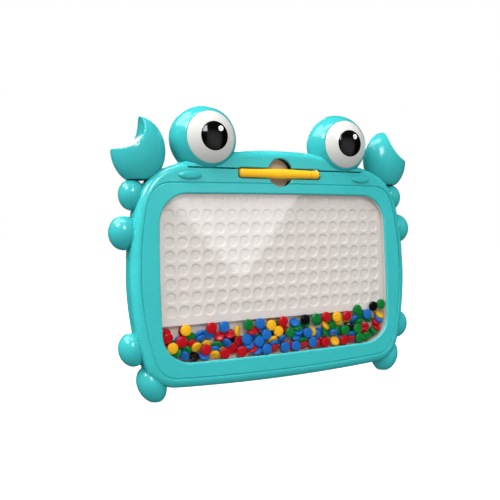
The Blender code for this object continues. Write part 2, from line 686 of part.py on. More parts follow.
def build_screws(rear, steel):
    """Screw posts inside the rear shell and the eight screws in them."""
    number = 0
    for x, z in SCREW_X_Z:
        for side in (-1, 1):
            number += 1
            post = add_object(f"post_{number}", turned([(POST_R, -(BACK_Y - 1.0)), (POST_R, -(SEAM_Y + 1.0))], 12,
                                                       along_y(side * x, 0.0, z)), steel, cutter=True)
            boolean(rear, post, "UNION")
            hole = [(SCREW_SHANK_R + GAP, -(SEAM_Y - 4.0)), (SCREW_SHANK_R + GAP, -(BACK_Y - 3.0)),
                    (SCREW_HEAD_R + GAP, -(BACK_Y - 3.0)), (SCREW_HEAD_R + GAP, -(BACK_Y + 4.0))]
            bore = add_object(f"bore_{number}", turned(hole, 12, along_y(side * x, 0.0, z)), steel, cutter=True)
            boolean(rear, bore)
            seat = BACK_Y - 3.0 + GAP
            shape = [(SCREW_SHANK_R, -(seat - SCREW_L)), (SCREW_SHANK_R, -seat), (SCREW_HEAD_R, -seat),
                     (SCREW_HEAD_R, -(seat + SCREW_HEAD_T - 0.6)), (SCREW_HEAD_R - 0.8, -(seat + SCREW_HEAD_T))]
            add_object(f"rear_screw_{number}", turned(shape, 12, along_y(side * x, 0.0, z)), steel)


def main():
    """Builds the toy."""
    clear_scene()
    teal = material("teal_gloss", TEAL, 0.22)
    white = material("white_board", WHITE, 0.45)
    clear = material("clear_window", (0.9, 0.95, 0.95, 1.0), 0.05, alpha=0.25)
    black = material("pupil_black", (0.01, 0.01, 0.01, 1.0), 0.15)
    yellow = material("pen_yellow", (0.9, 0.6, 0.03, 1.0), 0.3)
    steel = material("steel", (0.6, 0.6, 0.62, 1.0), 0.3, metallic=1.0)
    bezel, crown, rear = build_case(teal)
    build_inner(white, clear)
    build_screws(rear, steel)
    build_eyes(teal, white, black, (bezel, crown, rear))
    build_limbs(teal)
    build_discs()
    build_pen(yellow, steel)


main()
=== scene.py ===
"""Looks of the crab-shaped bead drawing board: fine surfaces, finishes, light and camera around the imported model.

Sizes inside the classes are in millimetres. Depths are measured from a plane just behind the face of the dimpled
board, and PLACE_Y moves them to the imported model's place when a mesh is made.
"""

from __future__ import annotations

import json  # noqa: E402
import logging  # noqa: E402
import math  # noqa: E402
from dataclasses import dataclass, field  # noqa: E402
from enum import Enum  # noqa: E402
from typing import Any, Callable, Sequence  # noqa: E402

import bmesh  # noqa: E402
import bpy  # noqa: E402
import numpy as np  # noqa: E402
from mathutils import Matrix, Vector  # noqa: E402

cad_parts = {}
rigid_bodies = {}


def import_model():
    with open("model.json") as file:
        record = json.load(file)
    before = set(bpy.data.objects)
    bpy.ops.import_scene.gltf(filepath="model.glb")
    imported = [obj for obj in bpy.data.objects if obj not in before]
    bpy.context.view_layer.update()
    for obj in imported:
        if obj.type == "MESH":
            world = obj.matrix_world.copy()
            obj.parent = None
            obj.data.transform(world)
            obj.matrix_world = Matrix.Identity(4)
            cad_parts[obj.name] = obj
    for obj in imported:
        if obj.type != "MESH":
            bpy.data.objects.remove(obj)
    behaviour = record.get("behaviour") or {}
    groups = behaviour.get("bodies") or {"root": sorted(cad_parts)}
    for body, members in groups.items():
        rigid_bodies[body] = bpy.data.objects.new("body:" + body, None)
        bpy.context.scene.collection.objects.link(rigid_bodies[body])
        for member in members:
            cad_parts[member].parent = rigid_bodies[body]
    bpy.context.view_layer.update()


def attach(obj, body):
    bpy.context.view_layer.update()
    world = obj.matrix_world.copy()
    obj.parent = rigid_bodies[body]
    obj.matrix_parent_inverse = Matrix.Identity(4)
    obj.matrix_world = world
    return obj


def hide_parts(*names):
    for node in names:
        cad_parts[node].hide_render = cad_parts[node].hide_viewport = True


LOG = logging.getLogger("crab_board")
MM = 0.001
PLACE_Y = -2.75
TURN = 2.0 * math.pi
QUARTER = math.pi / 2
CENTRE_Z = 100.0
GAP = 0.3
PITCH = 11.5
PEN_Z = 189.2
EYE_AT = (68.1, 9.2, 218.4)
EYE_R = 29.4
WINDOW_Y = -4.7
SIDES = ((-1, "left"), (1, "right"))
WHITE = (1.0, 1.0, 1.0, 1.0)
Array = np.ndarray
Colour = tuple[float, float, float]
Finish = tuple[bpy.types.Material, str]


class Body(Enum):
    """The moving bodies that pieces ride on."""

    CASE = "case"
    PEN = "pen"


class Slot(Enum):
    """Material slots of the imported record."""

    TEAL = "teal_plastic"
    WHITE = "white_plastic"
    EYE_WHITE = "eye_white"
    PUPIL = "pupil_black"
    CLEAR = "clear_plastic"
    PEN = "pen_yellow"
    MAGNET = "magnet_steel"
    SCREW = "screw_steel"


class DiscColour(Enum):
    """Colours of the discs."""

    RED = "red"
    BLUE = "blue"
    GREEN = "green"
    YELLOW = "yellow"
    BLACK = "black"


# Shader graphs ------------------------------------------------------------------------------------------


class Wire:
    """A value socket of a shader graph that takes part in arithmetic, adding its own Math nodes."""

    def __init__(self, graph: "Graph", socket: bpy.types.NodeSocket) -> None:
        """Wraps a socket."""
        self.graph = graph
        self.socket = socket

    def maths(self, operation: str, first: Any, last: Any) -> "Wire":
        """The result of one Math node over two operands."""
        return self.graph.wire(self.graph.node("ShaderNodeMath", {0: first, 1: last}, operation=operation))

    def __add__(self, other: "Wire | float") -> "Wire":
        """Sum."""
        return self.maths("ADD", self, other)

    def __sub__(self, other: "Wire | float") -> "Wire":
        """Difference."""
        return self.maths("SUBTRACT", self, other)

    def __rsub__(self, other: "Wire | float") -> "Wire":
        """Reflected difference."""
        return self.maths("SUBTRACT", other, self)

    def __mul__(self, other: "Wire | float") -> "Wire":
        """Product."""
        return self.maths("MULTIPLY", self, other)

    def __pow__(self, other: "Wire | float") -> "Wire":
        """Power."""
        return self.maths("POWER", self, other)

    def clipped(self) -> "Wire":
        """The value held between 0 and 1."""
        return self.graph.wire(self.graph.node("ShaderNodeClamp", {0: self}))

    def step(self, low: float, high: float) -> "Wire":
        """A smooth step from 0 at low to 1 at high."""
        inputs = {0: self, 1: low, 2: high, 3: 0.0, 4: 1.0}
        return self.graph.wire(self.graph.node("ShaderNodeMapRange", inputs, interpolation_type="SMOOTHSTEP"))


class Graph:
    """A node tree of a material or a world, emptied first."""

    def __init__(self, tree: bpy.types.NodeTree) -> None:
        """Empties the tree."""
        self.tree = tree
        tree.nodes.clear()

    def node(self, kind: str, inputs: dict[Any, Any] | None = None, **settings: Any) -> bpy.types.Node:
        """Adds a node.

        Args:
            kind: The node's type.
            inputs: Values, wires or sockets for its input sockets, by name or number.
            settings: Its own settings, set first.

        Returns:
            The node.
        """
        made = self.tree.nodes.new(kind)
        for key, value in settings.items():
            setattr(made, key, value)
        for key, value in (inputs or {}).items():
            socket = value.socket if isinstance(value, Wire) else value
            if isinstance(socket, bpy.types.NodeSocket):
                self.tree.links.new(socket, made.inputs[key])
            else:
                made.inputs[key].default_value = socket
        return made

    def wire(self, node: bpy.types.Node, name: Any = 0) -> Wire:
        """One of a node's outputs as a wire."""
        return Wire(self, node.outputs[name])

    def noise(self, scale: float, detail: float = 2.0, roughness: float = 0.5,
              stretch: Sequence[float] = (1.0, 1.0, 1.0)) -> Wire:
        """Noise from 0 to 1 on Object coordinates, scale in cells a metre."""
        place = self.node("ShaderNodeTexCoord").outputs["Object"]
        spot = self.node("ShaderNodeMapping", {"Vector": place, "Scale": tuple(stretch)}).outputs[0]
        inputs = {"Vector": spot, "Scale": scale, "Detail": detail, "Roughness": roughness}
        return self.wire(self.node("ShaderNodeTexNoise", inputs))

    def mixed(self, factor: Wire, first: Any, second: Any) -> bpy.types.NodeSocket:
        """A mix of two colours."""
        return self.node("ShaderNodeMix", {0: factor, 6: first, 7: second}, data_type="RGBA").outputs[2]

    def toned(self, factor: Wire, colour: Colour, low: float, high: float) -> bpy.types.NodeSocket:
        """A colour between two factors of itself."""
        ends = [tuple(channel * amount for channel in colour) + (1.0,) for amount in (low, high)]
        return self.mixed(factor, *ends)

    def bump(self, height: Wire, distance: float, normal: Any = None) -> bpy.types.NodeSocket:
        """A bumped normal from a height wire, distance in metres, on top of another normal if one is given."""
        inputs = {"Height": height, "Distance": distance}
        if normal is not None:
            inputs["Normal"] = normal
        return self.node("ShaderNodeBump", inputs).outputs[0]

    def finish(self, shader: bpy.types.Node, output: str = "ShaderNodeOutputMaterial") -> None:
        """Ends the tree in the given shader."""
        self.node(output, {"Surface": shader.outputs[0]})


@dataclass(frozen=True)
class Look:
    """A finish in the making.

    Attributes:
        name: Material name.
    """

    name: str

    def shader(self, graph: Graph) -> bpy.types.Node:
        """The shader node that the material ends in."""
        raise NotImplementedError

    def material(self) -> bpy.types.Material:
        """Builds the material."""
        material = bpy.data.materials.new(self.name)
        material.use_nodes = True
        graph = Graph(material.node_tree)
        graph.finish(self.shader(graph))
        return material

    def on(self, slot: str) -> Finish:
        """The material with the record's slot that it stands for."""
        return self.material(), slot


@dataclass(frozen=True)
class Moulded(Look):
    """Moulded plastic: faint flow clouds in the colour, handled gloss and the fine ripple of a tool surface.

    Attributes:
        colour: Base colour, linear.
        gloss: Mean roughness.
        clouds: How far the colour wanders, as a share.
        ripple: Height of the ripple, in metres.
        ripple_scale: Ripples a metre.
        specular: Specular level.
        smudge: How far roughness wanders.
        grain: Height of the fine spark-eroded grain, in metres.
    """

    colour: Colour
    gloss: float = 0.2
    clouds: float = 0.05
    ripple: float = 0.00002
    ripple_scale: float = 90.0
    specular: float = 0.5
    smudge: float = 0.06
    grain: float = 0.0

    def shader(self, graph: Graph) -> bpy.types.Node:
        """The shader node that the material ends in."""
        tone = (graph.noise(38.0, 4.0, 0.6) * 0.8 + graph.noise(900.0, 2.0, 0.6) * 0.2).step(0.25, 0.75)
        smudges = graph.noise(55.0, 5.0, 0.65)
        rub = graph.noise(420.0, 3.0, 0.55, (1.0, 1.0, 0.25))
        normal = graph.bump(graph.noise(self.ripple_scale, 2.0, 0.4), self.ripple)
        if self.grain:
            normal = graph.bump(graph.noise(2600.0, 2.0, 0.7), self.grain, normal)
        return graph.node("ShaderNodeBsdfPrincipled", {
            "Base Color": graph.toned(tone, self.colour, 1 - self.clouds, 1 + self.clouds),
            "Roughness": (smudges * 0.7 + rub * 0.3 - 0.5) * (2 * self.smudge) + self.gloss,
            "Normal": normal, "Specular IOR Level": self.specular})


@dataclass(frozen=True)
class ClearSheet(Look):
    """Clear polished sheet: what is behind shows straight through, under a mirror that grows at a slant.

    Attributes:
        mirror: Share of light mirrored by the sheet seen square on.
        slanted: Share mirrored at a full slant.
    """

    mirror: float = 0.09
    slanted: float = 0.6

    def shader(self, graph: Graph) -> bpy.types.Node:
        """The shader node that the material ends in."""
        hairlines = graph.noise(700.0, 3.0, 0.6, (1.0, 1.0, 0.06))
        dust = graph.noise(160.0, 5.0, 0.6)
        waves = graph.bump(graph.noise(14.0, 1.0, 0.4), 0.00003)
        gloss = graph.node("ShaderNodeBsdfPrincipled", {
            "Base Color": WHITE, "Metallic": 1.0, "Roughness": hairlines * 0.02 + dust * 0.03 + 0.02,
            "Normal": waves})
        clear = graph.node("ShaderNodeBsdfTransparent", {"Color": (0.985, 0.992, 0.99, 1.0)})
        slant = graph.wire(graph.node("ShaderNodeLayerWeight", {"Blend": 0.5}), "Facing")
        share = (slant ** 5.0) * (self.slanted - self.mirror) + self.mirror + (dust - 0.5) * 0.01
        return graph.node("ShaderNodeMixShader", {0: share.clipped(), 1: clear.outputs[0], 2: gloss.outputs[0]})


@dataclass(frozen=True)
class Plated(Look):
    """Plated steel with fine turning marks.

    Attributes:
        colour: Metal colour, linear.
        roughness: Mean roughness.
    """

    colour: Colour
    roughness: float = 0.28

    def shader(self, graph: Graph) -> bpy.types.Node:
        """The shader node that the material ends in."""
        marks = graph.noise(2400.0, 3.0, 0.6, (1.0, 0.1, 1.0))
        tarnish = graph.noise(300.0, 4.0, 0.6)
        return graph.node("ShaderNodeBsdfPrincipled", {
            "Base Color": graph.toned(tarnish.step(0.3, 0.8), self.colour, 0.8, 1.05), "Metallic": 1.0,
            "Roughness": marks * 0.15 + tarnish * 0.1 + (self.roughness - 0.12),
            "Normal": graph.bump(marks, 0.000008)})


@dataclass(frozen=True)
class LightCard(Look):
    """A see-through lit card whose light follows the "fade" attribute of its mesh.

    Attributes:
        strength: Emission strength where the fade is 1.
    """

    strength: float

    def shader(self, graph: Graph) -> bpy.types.Node:
        """The shader node that the material ends in."""
        fade = graph.wire(graph.node("ShaderNodeAttribute", attribute_name="fade"), "Fac")
        light = graph.node("ShaderNodeEmission", {"Color": WHITE, "Strength": fade * self.strength})
        through = graph.node("ShaderNodeBsdfTransparent")
        return graph.node("ShaderNodeAddShader", {0: light.outputs[0], 1: through.outputs[0]})


@dataclass(frozen=True)
class Paper(Look):
    """The studio's pale floor, which gives off a little light of its own to stay even."""

    def shader(self, graph: Graph) -> bpy.types.Node:
        """The shader node that the material ends in."""
        return graph.node("ShaderNodeBsdfPrincipled", {
            "Base Color": graph.mixed(graph.noise(6.0, 3.0, 0.5), (0.42, 0.42, 0.42, 1.0), (0.45, 0.45, 0.45, 1.0)),
            "Roughness": graph.noise(90.0, 2.0, 0.5) * 0.1 + 0.75, "Specular IOR Level": 0.0,
            "Emission Color": WHITE, "Emission Strength": 0.74})


class Finishes:
    """Every finish of the toy with its slot, each made once."""

    def __init__(self) -> None:
        """Builds the materials."""
        white, eye = Slot.WHITE.value, Slot.EYE_WHITE.value
        self.teal = Moulded("teal_gloss", (0.030, 0.365, 0.372), clouds=0.03, ripple=0.00001).on(Slot.TEAL.value)
        self.board = Moulded("board_white", (0.765, 0.70, 0.672), gloss=0.42, clouds=0.02, smudge=0.08,
                             specular=0.3, grain=0.000006).on(white)
        self.tray = Moulded("tray_white", (0.76, 0.705, 0.65), gloss=0.4, clouds=0.02, specular=0.3,
                            grain=0.000004).on(white)
        # The pen bay's floor is white plastic: its darker beige colour is painted yellow bounce light from the pen and
        # painted shade of the recess.
        self.bay = Moulded("bay_painted_pen_bounce_and_shade", (0.66, 0.50, 0.36), gloss=0.42, clouds=0.03, specular=0.3).on(white)
        self.eye_white = Moulded("eye_white_gloss", (0.51, 0.51, 0.485), gloss=0.14, clouds=0.015).on(eye)
        self.pupil = Moulded("pupil_black_gloss", (0.002, 0.002, 0.002), gloss=0.08, clouds=0.3,
                             smudge=0.03).on(Slot.PUPIL.value)
        self.glint = Moulded("glint_white", (0.92, 0.92, 0.92), clouds=0.01).on(eye)
        self.glint_centre = Moulded("glint_grey", (0.35, 0.36, 0.38), gloss=0.3).on(eye)
        self.pen = Moulded("pen_yellow_gloss", (0.90, 0.45, 0.012), gloss=0.22, clouds=0.04).on(Slot.PEN.value)
        self.clear = ClearSheet("window_clear").on(Slot.CLEAR.value)
        self.steel = Plated("magnet_plating", (0.62, 0.62, 0.64)).on(Slot.MAGNET.value)
        self.zinc = Plated("screw_zinc", (0.55, 0.56, 0.58), 0.33).on(Slot.SCREW.value)
        tints = {
            DiscColour.RED: (0.56, 0.004, 0.012),
            DiscColour.BLUE: (0.012, 0.16, 0.56),
            DiscColour.GREEN: (0.004, 0.22, 0.035),
            DiscColour.YELLOW: (0.94, 0.50, 0.012),
            DiscColour.BLACK: (0.006, 0.006, 0.008),
        }
        self.discs = {
            colour: Moulded(f"disc_{colour.value}_gloss", tint, clouds=0.10, ripple=0.00003,
                            ripple_scale=300.0).on(f"disc_{colour.value}")
            for colour, tint in tints.items()}


# Surfaces -----------------------------------------------------------------------------------------------


def raw_mesh(name: str, points: Array, faces: Sequence[Sequence[int]]) -> bpy.types.Mesh:
    """A mesh from points and faces, unscaled."""
    mesh = bpy.data.meshes.new(name)
    mesh.from_pydata(points.tolist(), [], faces)
    return mesh


def face_outwards(mesh: bpy.types.Mesh) -> None:
    """Flips a closed mesh whose signed volume is negative, so that its faces look outwards."""
    mesh.calc_loop_triangles()
    corners = np.empty(len(mesh.loop_triangles) * 3, np.int32)
    mesh.loop_triangles.foreach_get("vertices", corners)
    spots = np.empty(len(mesh.vertices) * 3)
    mesh.vertices.foreach_get("co", spots)
    a, b, c = (spots.reshape(-1, 3)[corners.reshape(-1, 3)[:, k]] for k in range(3))
    if float((a * np.cross(b, c)).sum()) < 0:
        mesh.flip_normals()


class Shape:
    """A mesh in the making: grids of points joined into faces, in millimetres."""

    def __init__(self) -> None:
        """Starts empty."""
        self.points: list[Array] = []
        self.quads: list[Array] = []
        self.others: list[list[int]] = []
        self.count = 0

    def add_points(self, points: Array) -> Array:
        """Adds points and returns their numbers, in the same layout."""
        flat = points.reshape(-1, 3)
        numbers = np.arange(len(flat)) + self.count
        self.points.append(flat)
        self.count += len(flat)
        return numbers.reshape(points.shape[:-1])

    def grid(self, points: Array, wrap_rows: bool = False, wrap_columns: bool = True, cap_first: bool = False,
             cap_last: bool = False) -> "Shape":
        """Joins a grid of points with quads: each row to the next, and each point to the next in its row.

        Args:
            points: Array (rows, columns, 3).
            wrap_rows: Whether the last row joins the first.
            wrap_columns: Whether each row closes on itself.
            cap_first: Whether one flat face closes the first row.
            cap_last: Whether one flat face closes the last row.

        Returns:
            The shape itself.
        """
        numbers = self.add_points(points)
        ahead = np.roll(numbers, -1, axis=0) if wrap_rows else numbers[1:]
        here = numbers if wrap_rows else numbers[:-1]
        if wrap_columns:
            quads = np.stack([here, np.roll(here, -1, axis=1), np.roll(ahead, -1, axis=1), ahead], -1)
        else:
            quads = np.stack([here[:, :-1], here[:, 1:], ahead[:, 1:], ahead[:, :-1]], -1)
        self.quads.append(quads.reshape(-1, 4))
        if cap_first:
            self.others.append(numbers[0][::-1].tolist())
        if cap_last:
            self.others.append(numbers[-1].tolist())
        return self

    def solid(self, points: Array) -> "Shape":
        """Joins rings of points, closed by a flat face at both ends."""
        return self.grid(points, cap_first=True, cap_last=True)

    def add(self, other: "Shape") -> None:
        """Adds the faces of a shape that holds a single grid."""
        self.others += [[number + self.count for number in face] for face in other.others]
        self.quads.append(other.quads[0] + self.count)
        self.add_points(other.points[0])

    def mesh(self, name: str, closed: bool = True) -> bpy.types.Mesh:
        """Makes the mesh in metres and in its place, a closed one with its faces outwards."""
        points = (np.concatenate(self.points) + np.array([0.0, PLACE_Y, 0.0])) * MM
        mesh = raw_mesh(name, points, np.concatenate(self.quads).tolist() + self.others)
        mesh.validate()
        if closed:
            face_outwards(mesh)
        return mesh


def link(name: str, data: Any) -> bpy.types.Object:
    """Puts a mesh, light or camera into the scene as an object at the origin."""
    obj = bpy.data.objects.new(name, data)
    bpy.context.scene.collection.objects.link(obj)
    return obj


def piece(name: str, shape: Shape | bpy.types.Mesh, finish: Finish, replaces: Sequence[str] = (),
          body: str = Body.CASE.value, sharp: float = 32.0, flat_faces: bool = False) -> None:
    """Makes a finished piece that rides on a body.

    Args:
        name: The piece's name.
        shape: Its shape or mesh.
        finish: Its material and slot.
        replaces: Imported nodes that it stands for.
        body: The body it rides on.
        sharp: Angle in degrees over which an edge stays sharp.
        flat_faces: Whether faces that look straight along the depth axis are shaded flat.
    """
    mesh = shape.mesh(name) if isinstance(shape, Shape) else shape
    material, slot = finish
    mesh.materials.clear()
    mesh.materials.append(material)
    mesh.shade_smooth()
    mesh.set_sharp_from_angle(angle=math.radians(sharp))
    if flat_faces:
        normals = np.empty(len(mesh.polygons) * 3)
        mesh.polygons.foreach_get("normal", normals)
        mesh.polygons.foreach_set("use_smooth", np.abs(normals.reshape(-1, 3)[:, 1]) < 0.99999)
    obj = link(name, mesh)
    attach(obj, body)
    if replaces:
        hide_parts(*replaces)
    LOG.info("%s: %d faces", name, len(mesh.polygons))


def carve(mesh: bpy.types.Mesh, cuts: Sequence[bpy.types.Mesh] = (), keep: bpy.types.Mesh | None = None,
          add: bpy.types.Mesh | None = None) -> bpy.types.Mesh:
    """Applies exact Booleans: first what is kept, then the cuts, then what is added.

    Args:
        mesh: The mesh to work on, left as it is.
        cuts: Meshes to take away.
        keep: Mesh outside which nothing stays.
        add: Mesh to join.

    Returns:
        The new mesh.
    """
    steps = [("INTERSECT", keep)] if keep else []
    steps += [("DIFFERENCE", cut) for cut in cuts]
    steps += [("UNION", add)] if add else []
    work = link("carve_work", mesh)
    tools = []
    for operation, other in steps:
        tools.append(link("carve_tool", other))
        modifier = work.modifiers.new("carve", "BOOLEAN")
        modifier.operation, modifier.solver, modifier.object = operation, "EXACT", tools[-1]
    bpy.context.view_layer.update()
    graph = bpy.context.evaluated_depsgraph_get()
    made = bpy.data.meshes.new_from_object(work.evaluated_get(graph))
    for obj in (work, *tools):
        bpy.data.objects.remove(obj)
    return made


def weld(mesh: bpy.types.Mesh) -> None:
    """Joins points of a mesh that lie in the same place."""
    work = bmesh.new()
    work.from_mesh(mesh)
    bmesh.ops.remove_doubles(work, verts=work.verts, dist=1e-6)
    bmesh.ops.recalc_face_normals(work, faces=work.faces)
    work.to_mesh(mesh)
    work.free()
    face_outwards(mesh)


def arc(centre: Sequence[float], radius: float, start: float, end: float, count: int = 500) -> Array:
    """Points along a circular arc: centre plus radius times cosine and sine of evenly spaced angles."""
    angles = np.linspace(start, end, count)
    return np.stack([centre[0] + radius * np.cos(angles), centre[1] + radius * np.sin(angles)], 1)


def corner(side_c: Sequence[float], side_r: float, edge_c: Sequence[float], edge_r: float,
           radius: float) -> tuple[Array, float, float]:
    """Fillet circle inside two arcs: its centre, and the angles at which it touches the side and the edge.

    Its centre is the right-hand crossing of the two arcs' circles, each smaller by the fillet's radius, and is
    found from the chord that joins their crossings.
    """
    side, edge = np.array(side_c), np.array(edge_c)
    r1, r2, gap = side_r - radius, edge_r - radius, edge - side
    span = float(np.hypot(*gap))
    along = (r1 * r1 - r2 * r2 + span * span) / (2 * span)
    high = math.sqrt(max(r1 * r1 - along * along, 0.0))
    unit = gap / span
    normal = np.array([-unit[1], unit[0]])
    first, second = side + along * unit + high * normal, side + along * unit - high * normal
    centre = first if first[0] > second[0] else second
    to_side, to_edge = centre - side, centre - edge
    return centre, math.atan2(to_side[1], to_side[0]), math.atan2(to_edge[1], to_edge[0])


class Plan:
    """A closed curve in the front plane, counter-clockwise, resampled at even steps of its length."""

    SAMPLES = 6144

    def __init__(self, points: Array) -> None:
        """Resamples the curve by linear interpolation over its running length."""
        closed = np.concatenate([points, points[:1]])
        run = np.concatenate([[0.0], np.cumsum(np.hypot(*np.diff(closed, axis=0).T))])
        marks = np.linspace(0.0, run[-1], self.SAMPLES, endpoint=False)
        self.length = float(run[-1])
        self.points = np.stack([np.interp(marks, run, closed[:, k]) for k in (0, 1)], 1)

    @classmethod
    def mirrored(cls, half: Sequence[Array]) -> "Plan":
        """Closes a right half, given as runs from bottom centre to top centre, with its mirror image."""
        joined = np.concatenate(half)
        return cls(np.concatenate([joined, joined[::-1][1:-1] * np.array([-1.0, 1.0])]))

    def softened(self, sigma: float) -> "Plan":
        """The curve with its ripples taken out: its Fourier terms weighted by a Gaussian of that width."""
        z = np.fft.fft(self.points[:, 0] + 1j * self.points[:, 1])
        waves = np.fft.fftfreq(len(z), self.length / len(z)) * TURN
        z = np.fft.ifft(z * np.exp(-0.5 * (waves * sigma) ** 2))
        return Plan(np.stack([z.real, z.imag], 1))

    def inwards(self, distance: float) -> Array:
        """The curve moved inwards along its normals."""
        ahead = np.roll(self.points, -2, axis=0) - np.roll(self.points, 2, axis=0)
        normal = np.stack([-ahead[:, 1], ahead[:, 0]], 1)
        normal /= np.hypot(*normal.T)[:, None]
        return self.points + distance * normal

    def ring(self, angles: Array, distance: float, y: float) -> Array:
        """Points of the moved curve on rays from the case's centre, at depth y."""
        rel = self.inwards(distance) - np.array([0.0, CENTRE_Z])
        polar = np.unwrap(np.arctan2(rel[:, 1], rel[:, 0]))
        radius = np.hypot(*rel.T)
        order = np.argsort(polar)
        polar, radius = polar[order], radius[order]
        spread = np.concatenate([polar - TURN, polar, polar + TURN])
        found = np.interp(angles, spread, np.tile(radius, 3))
        return np.stack([found * np.cos(angles), np.full(len(angles), y), CENTRE_Z + found * np.sin(angles)], 1)


Ring = tuple[Plan, float, float]


def bend(plan: Plan, degrees: Sequence[float], inwards: float, y: float, across: float, deep: float) -> list[Ring]:
    """Rings over a rounded edge: inwards less across times cosine, y plus deep times sine."""
    return [(plan, inwards - across * math.cos(a), y + deep * math.sin(a)) for a in np.radians(degrees)]


def lower_half(side: Sequence[float], bottom: Sequence[float]) -> tuple[list[Array], tuple[float, float], float]:
    """Bottom edge and lower corner of an outline.

    Args:
        side: Half width, height of the widest place, and radius of the bowed side.
        bottom: Height and radius of the bottom edge, and radius of the corner.

    Returns:
        The two runs of points, the centre of the side's arc and the angle at which the side takes over.
    """
    half_w, wide_z, side_r = side
    bottom_z, bottom_r, corner_r = bottom
    side_c, bottom_c = (half_w - side_r, wide_z), (0.0, bottom_z + bottom_r)
    centre, low_side, low_edge = corner(side_c, side_r, bottom_c, bottom_r, corner_r)
    runs = [arc(bottom_c, bottom_r, -QUARTER, low_edge), arc(centre, corner_r, low_edge, low_side)[1:]]
    return runs, side_c, low_side


def barrel(side: Sequence[float], bottom: Sequence[float], top_z: float) -> Plan:
    """A rounded oblong with bowed sides, nearly straight top and bottom, and equal corner radii."""
    top_r, side_r, corner_r = 9000.0, side[2], bottom[2]
    runs, side_c, low_side = lower_half(side, bottom)
    top_c = (0.0, top_z - top_r)
    high_c, high_side, high_edge = corner(side_c, side_r, top_c, top_r, corner_r)
    return Plan.mirrored([*runs, arc(side_c, side_r, low_side, high_side)[1:],
                          arc(high_c, corner_r, high_side, high_edge)[1:], arc(top_c, top_r, high_edge, QUARTER)[1:]])


def spline(points: Sequence[Sequence[float]], per_span: int = 80) -> Array:
    """A centripetal Catmull-Rom curve through the points, ended with its mirror image across X = 0."""
    given = np.asarray(points, float)
    p = np.concatenate([[2 * given[0] - given[1]], given, [given[-1] * np.array([-1.0, 1.0])]])
    out = []
    for i in range(1, len(p) - 2):
        knots = np.concatenate([[0.0], np.cumsum(np.hypot(*np.diff(p[i - 1:i + 3], axis=0).T) ** 0.5)])
        t = np.linspace(knots[1], knots[2], per_span, endpoint=False)[:, None]
        level = list(p[i - 1:i + 3])
        for gap in (1, 2):
            level = [level[k] + (t - knots[k]) / (knots[k + gap] - knots[k]) * (level[k + 1] - level[k])
                     for k in range(len(level) - 1)]
        out.append(level[0] + (t - knots[1]) / (knots[2] - knots[1]) * (level[1] - level[0]))
    return np.concatenate(out)


def turned(profile: Sequence[Sequence[float]] | Array, segments: int, place: Matrix, closed: bool = False) -> Shape:
    """Turns a profile of (radius, height) points about the local Z axis and places the result.

    Args:
        profile: The profile, from the bottom axis end to the top one.
        segments: Steps round the axis.
        place: Local to world, in millimetres.
        closed: Whether the profile is a loop, as for a ring.

    Returns:
        The shape; an open profile is closed by flat ends.
    """
    outline = np.asarray(profile, float)
    angles = np.linspace(0.0, TURN, segments, endpoint=False)
    local = np.stack([outline[:, :1] * np.cos(angles), outline[:, :1] * np.sin(angles),
                      np.repeat(outline[:, 1:], segments, 1), np.ones((len(outline), segments))], -1)
    world = local @ np.array(place).T
    return Shape().grid(world[..., :3], wrap_rows=closed, cap_first=not closed, cap_last=not closed)


def rounded(points: Sequence[Sequence[float]], radii: Sequence[float], steps: int = 5) -> Array:
    """Rounds the corners of an open profile with arcs approximated by quadratic curves.

    Args:
        points: Corner points.
        radii: Cut-back length at each corner; 0 keeps it sharp.
        steps: Points along each rounded corner.

    Returns:
        The profile's points.
    """
    given = np.asarray(points, float)
    out = [given[:1]]
    for i in range(1, len(given) - 1):
        if radii[i] <= 0:
            out.append(given[i:i + 1])
            continue
        before, after = given[i - 1] - given[i], given[i + 1] - given[i]
        start = given[i] + before / np.hypot(*before) * radii[i]
        end = given[i] + after / np.hypot(*after) * radii[i]
        t = np.linspace(0.0, 1.0, steps)[:, None]
        pull = 0.414 * (start + end) / 2 + 0.586 * given[i]
        out.append((1 - t) ** 2 * start + 2 * t * (1 - t) * pull + t ** 2 * end)
    out.append(given[-1:])
    return np.concatenate(out)


def ball(centre: Sequence[float], semi: Sequence[float], lean: float = 0.0, across: int = 72,
         along: int = 48) -> bpy.types.Mesh:
    """An ellipsoid: cosines and sines of two angles times its semi-axes, leaned outwards about the depth axis.

    Args:
        centre: Its centre.
        semi: Semi-axes.
        lean: Degrees by which its top leans away from the middle.
        across: Steps round the depth axis.
        along: Steps from front pole to back pole.

    Returns:
        The mesh.
    """
    polar = np.linspace(0.02, math.pi - 0.02, along)[:, None]
    round_ = np.linspace(0.0, TURN, across, endpoint=False)[None, :]
    x = semi[0] * np.sin(polar) * np.cos(round_)
    y = np.broadcast_to(-semi[1] * np.cos(polar), x.shape)
    z = semi[2] * np.sin(polar) * np.sin(round_)
    tilt = math.radians(lean) * (1.0 if centre[0] > 0 else -1.0)
    world = np.stack([centre[0] + x * math.cos(tilt) + z * math.sin(tilt), centre[1] + y,
                      centre[2] - x * math.sin(tilt) + z * math.cos(tilt)], -1)
    return Shape().solid(world).mesh("ball")


def slab(depths: Sequence[float], outlines: Sequence[Array]) -> bpy.types.Mesh:
    """A plate from its outlines at a series of depths; a single outline serves at every depth."""
    each = list(outlines) if len(outlines) > 1 else list(outlines) * len(depths)
    rows = [np.stack([o[:, 0], np.full(len(o), y), o[:, 1]], 1) for y, o in zip(depths, each)]
    return Shape().solid(np.stack(rows)).mesh("slab")


def box(low_x: float, high_x: float, low_z: float, high_z: float) -> Array:
    """A rectangle's corners."""
    return np.array([(low_x, low_z), (high_x, low_z), (high_x, high_z), (low_x, high_z)])


def along_y(x: float, y: float, z: float) -> Matrix:
    """Places a turned piece with its height along -Y."""
    return Matrix.Translation((x, y, z)) @ Matrix.Rotation(QUARTER, 4, "X")


# The case -----------------------------------------------------------------------------------------------


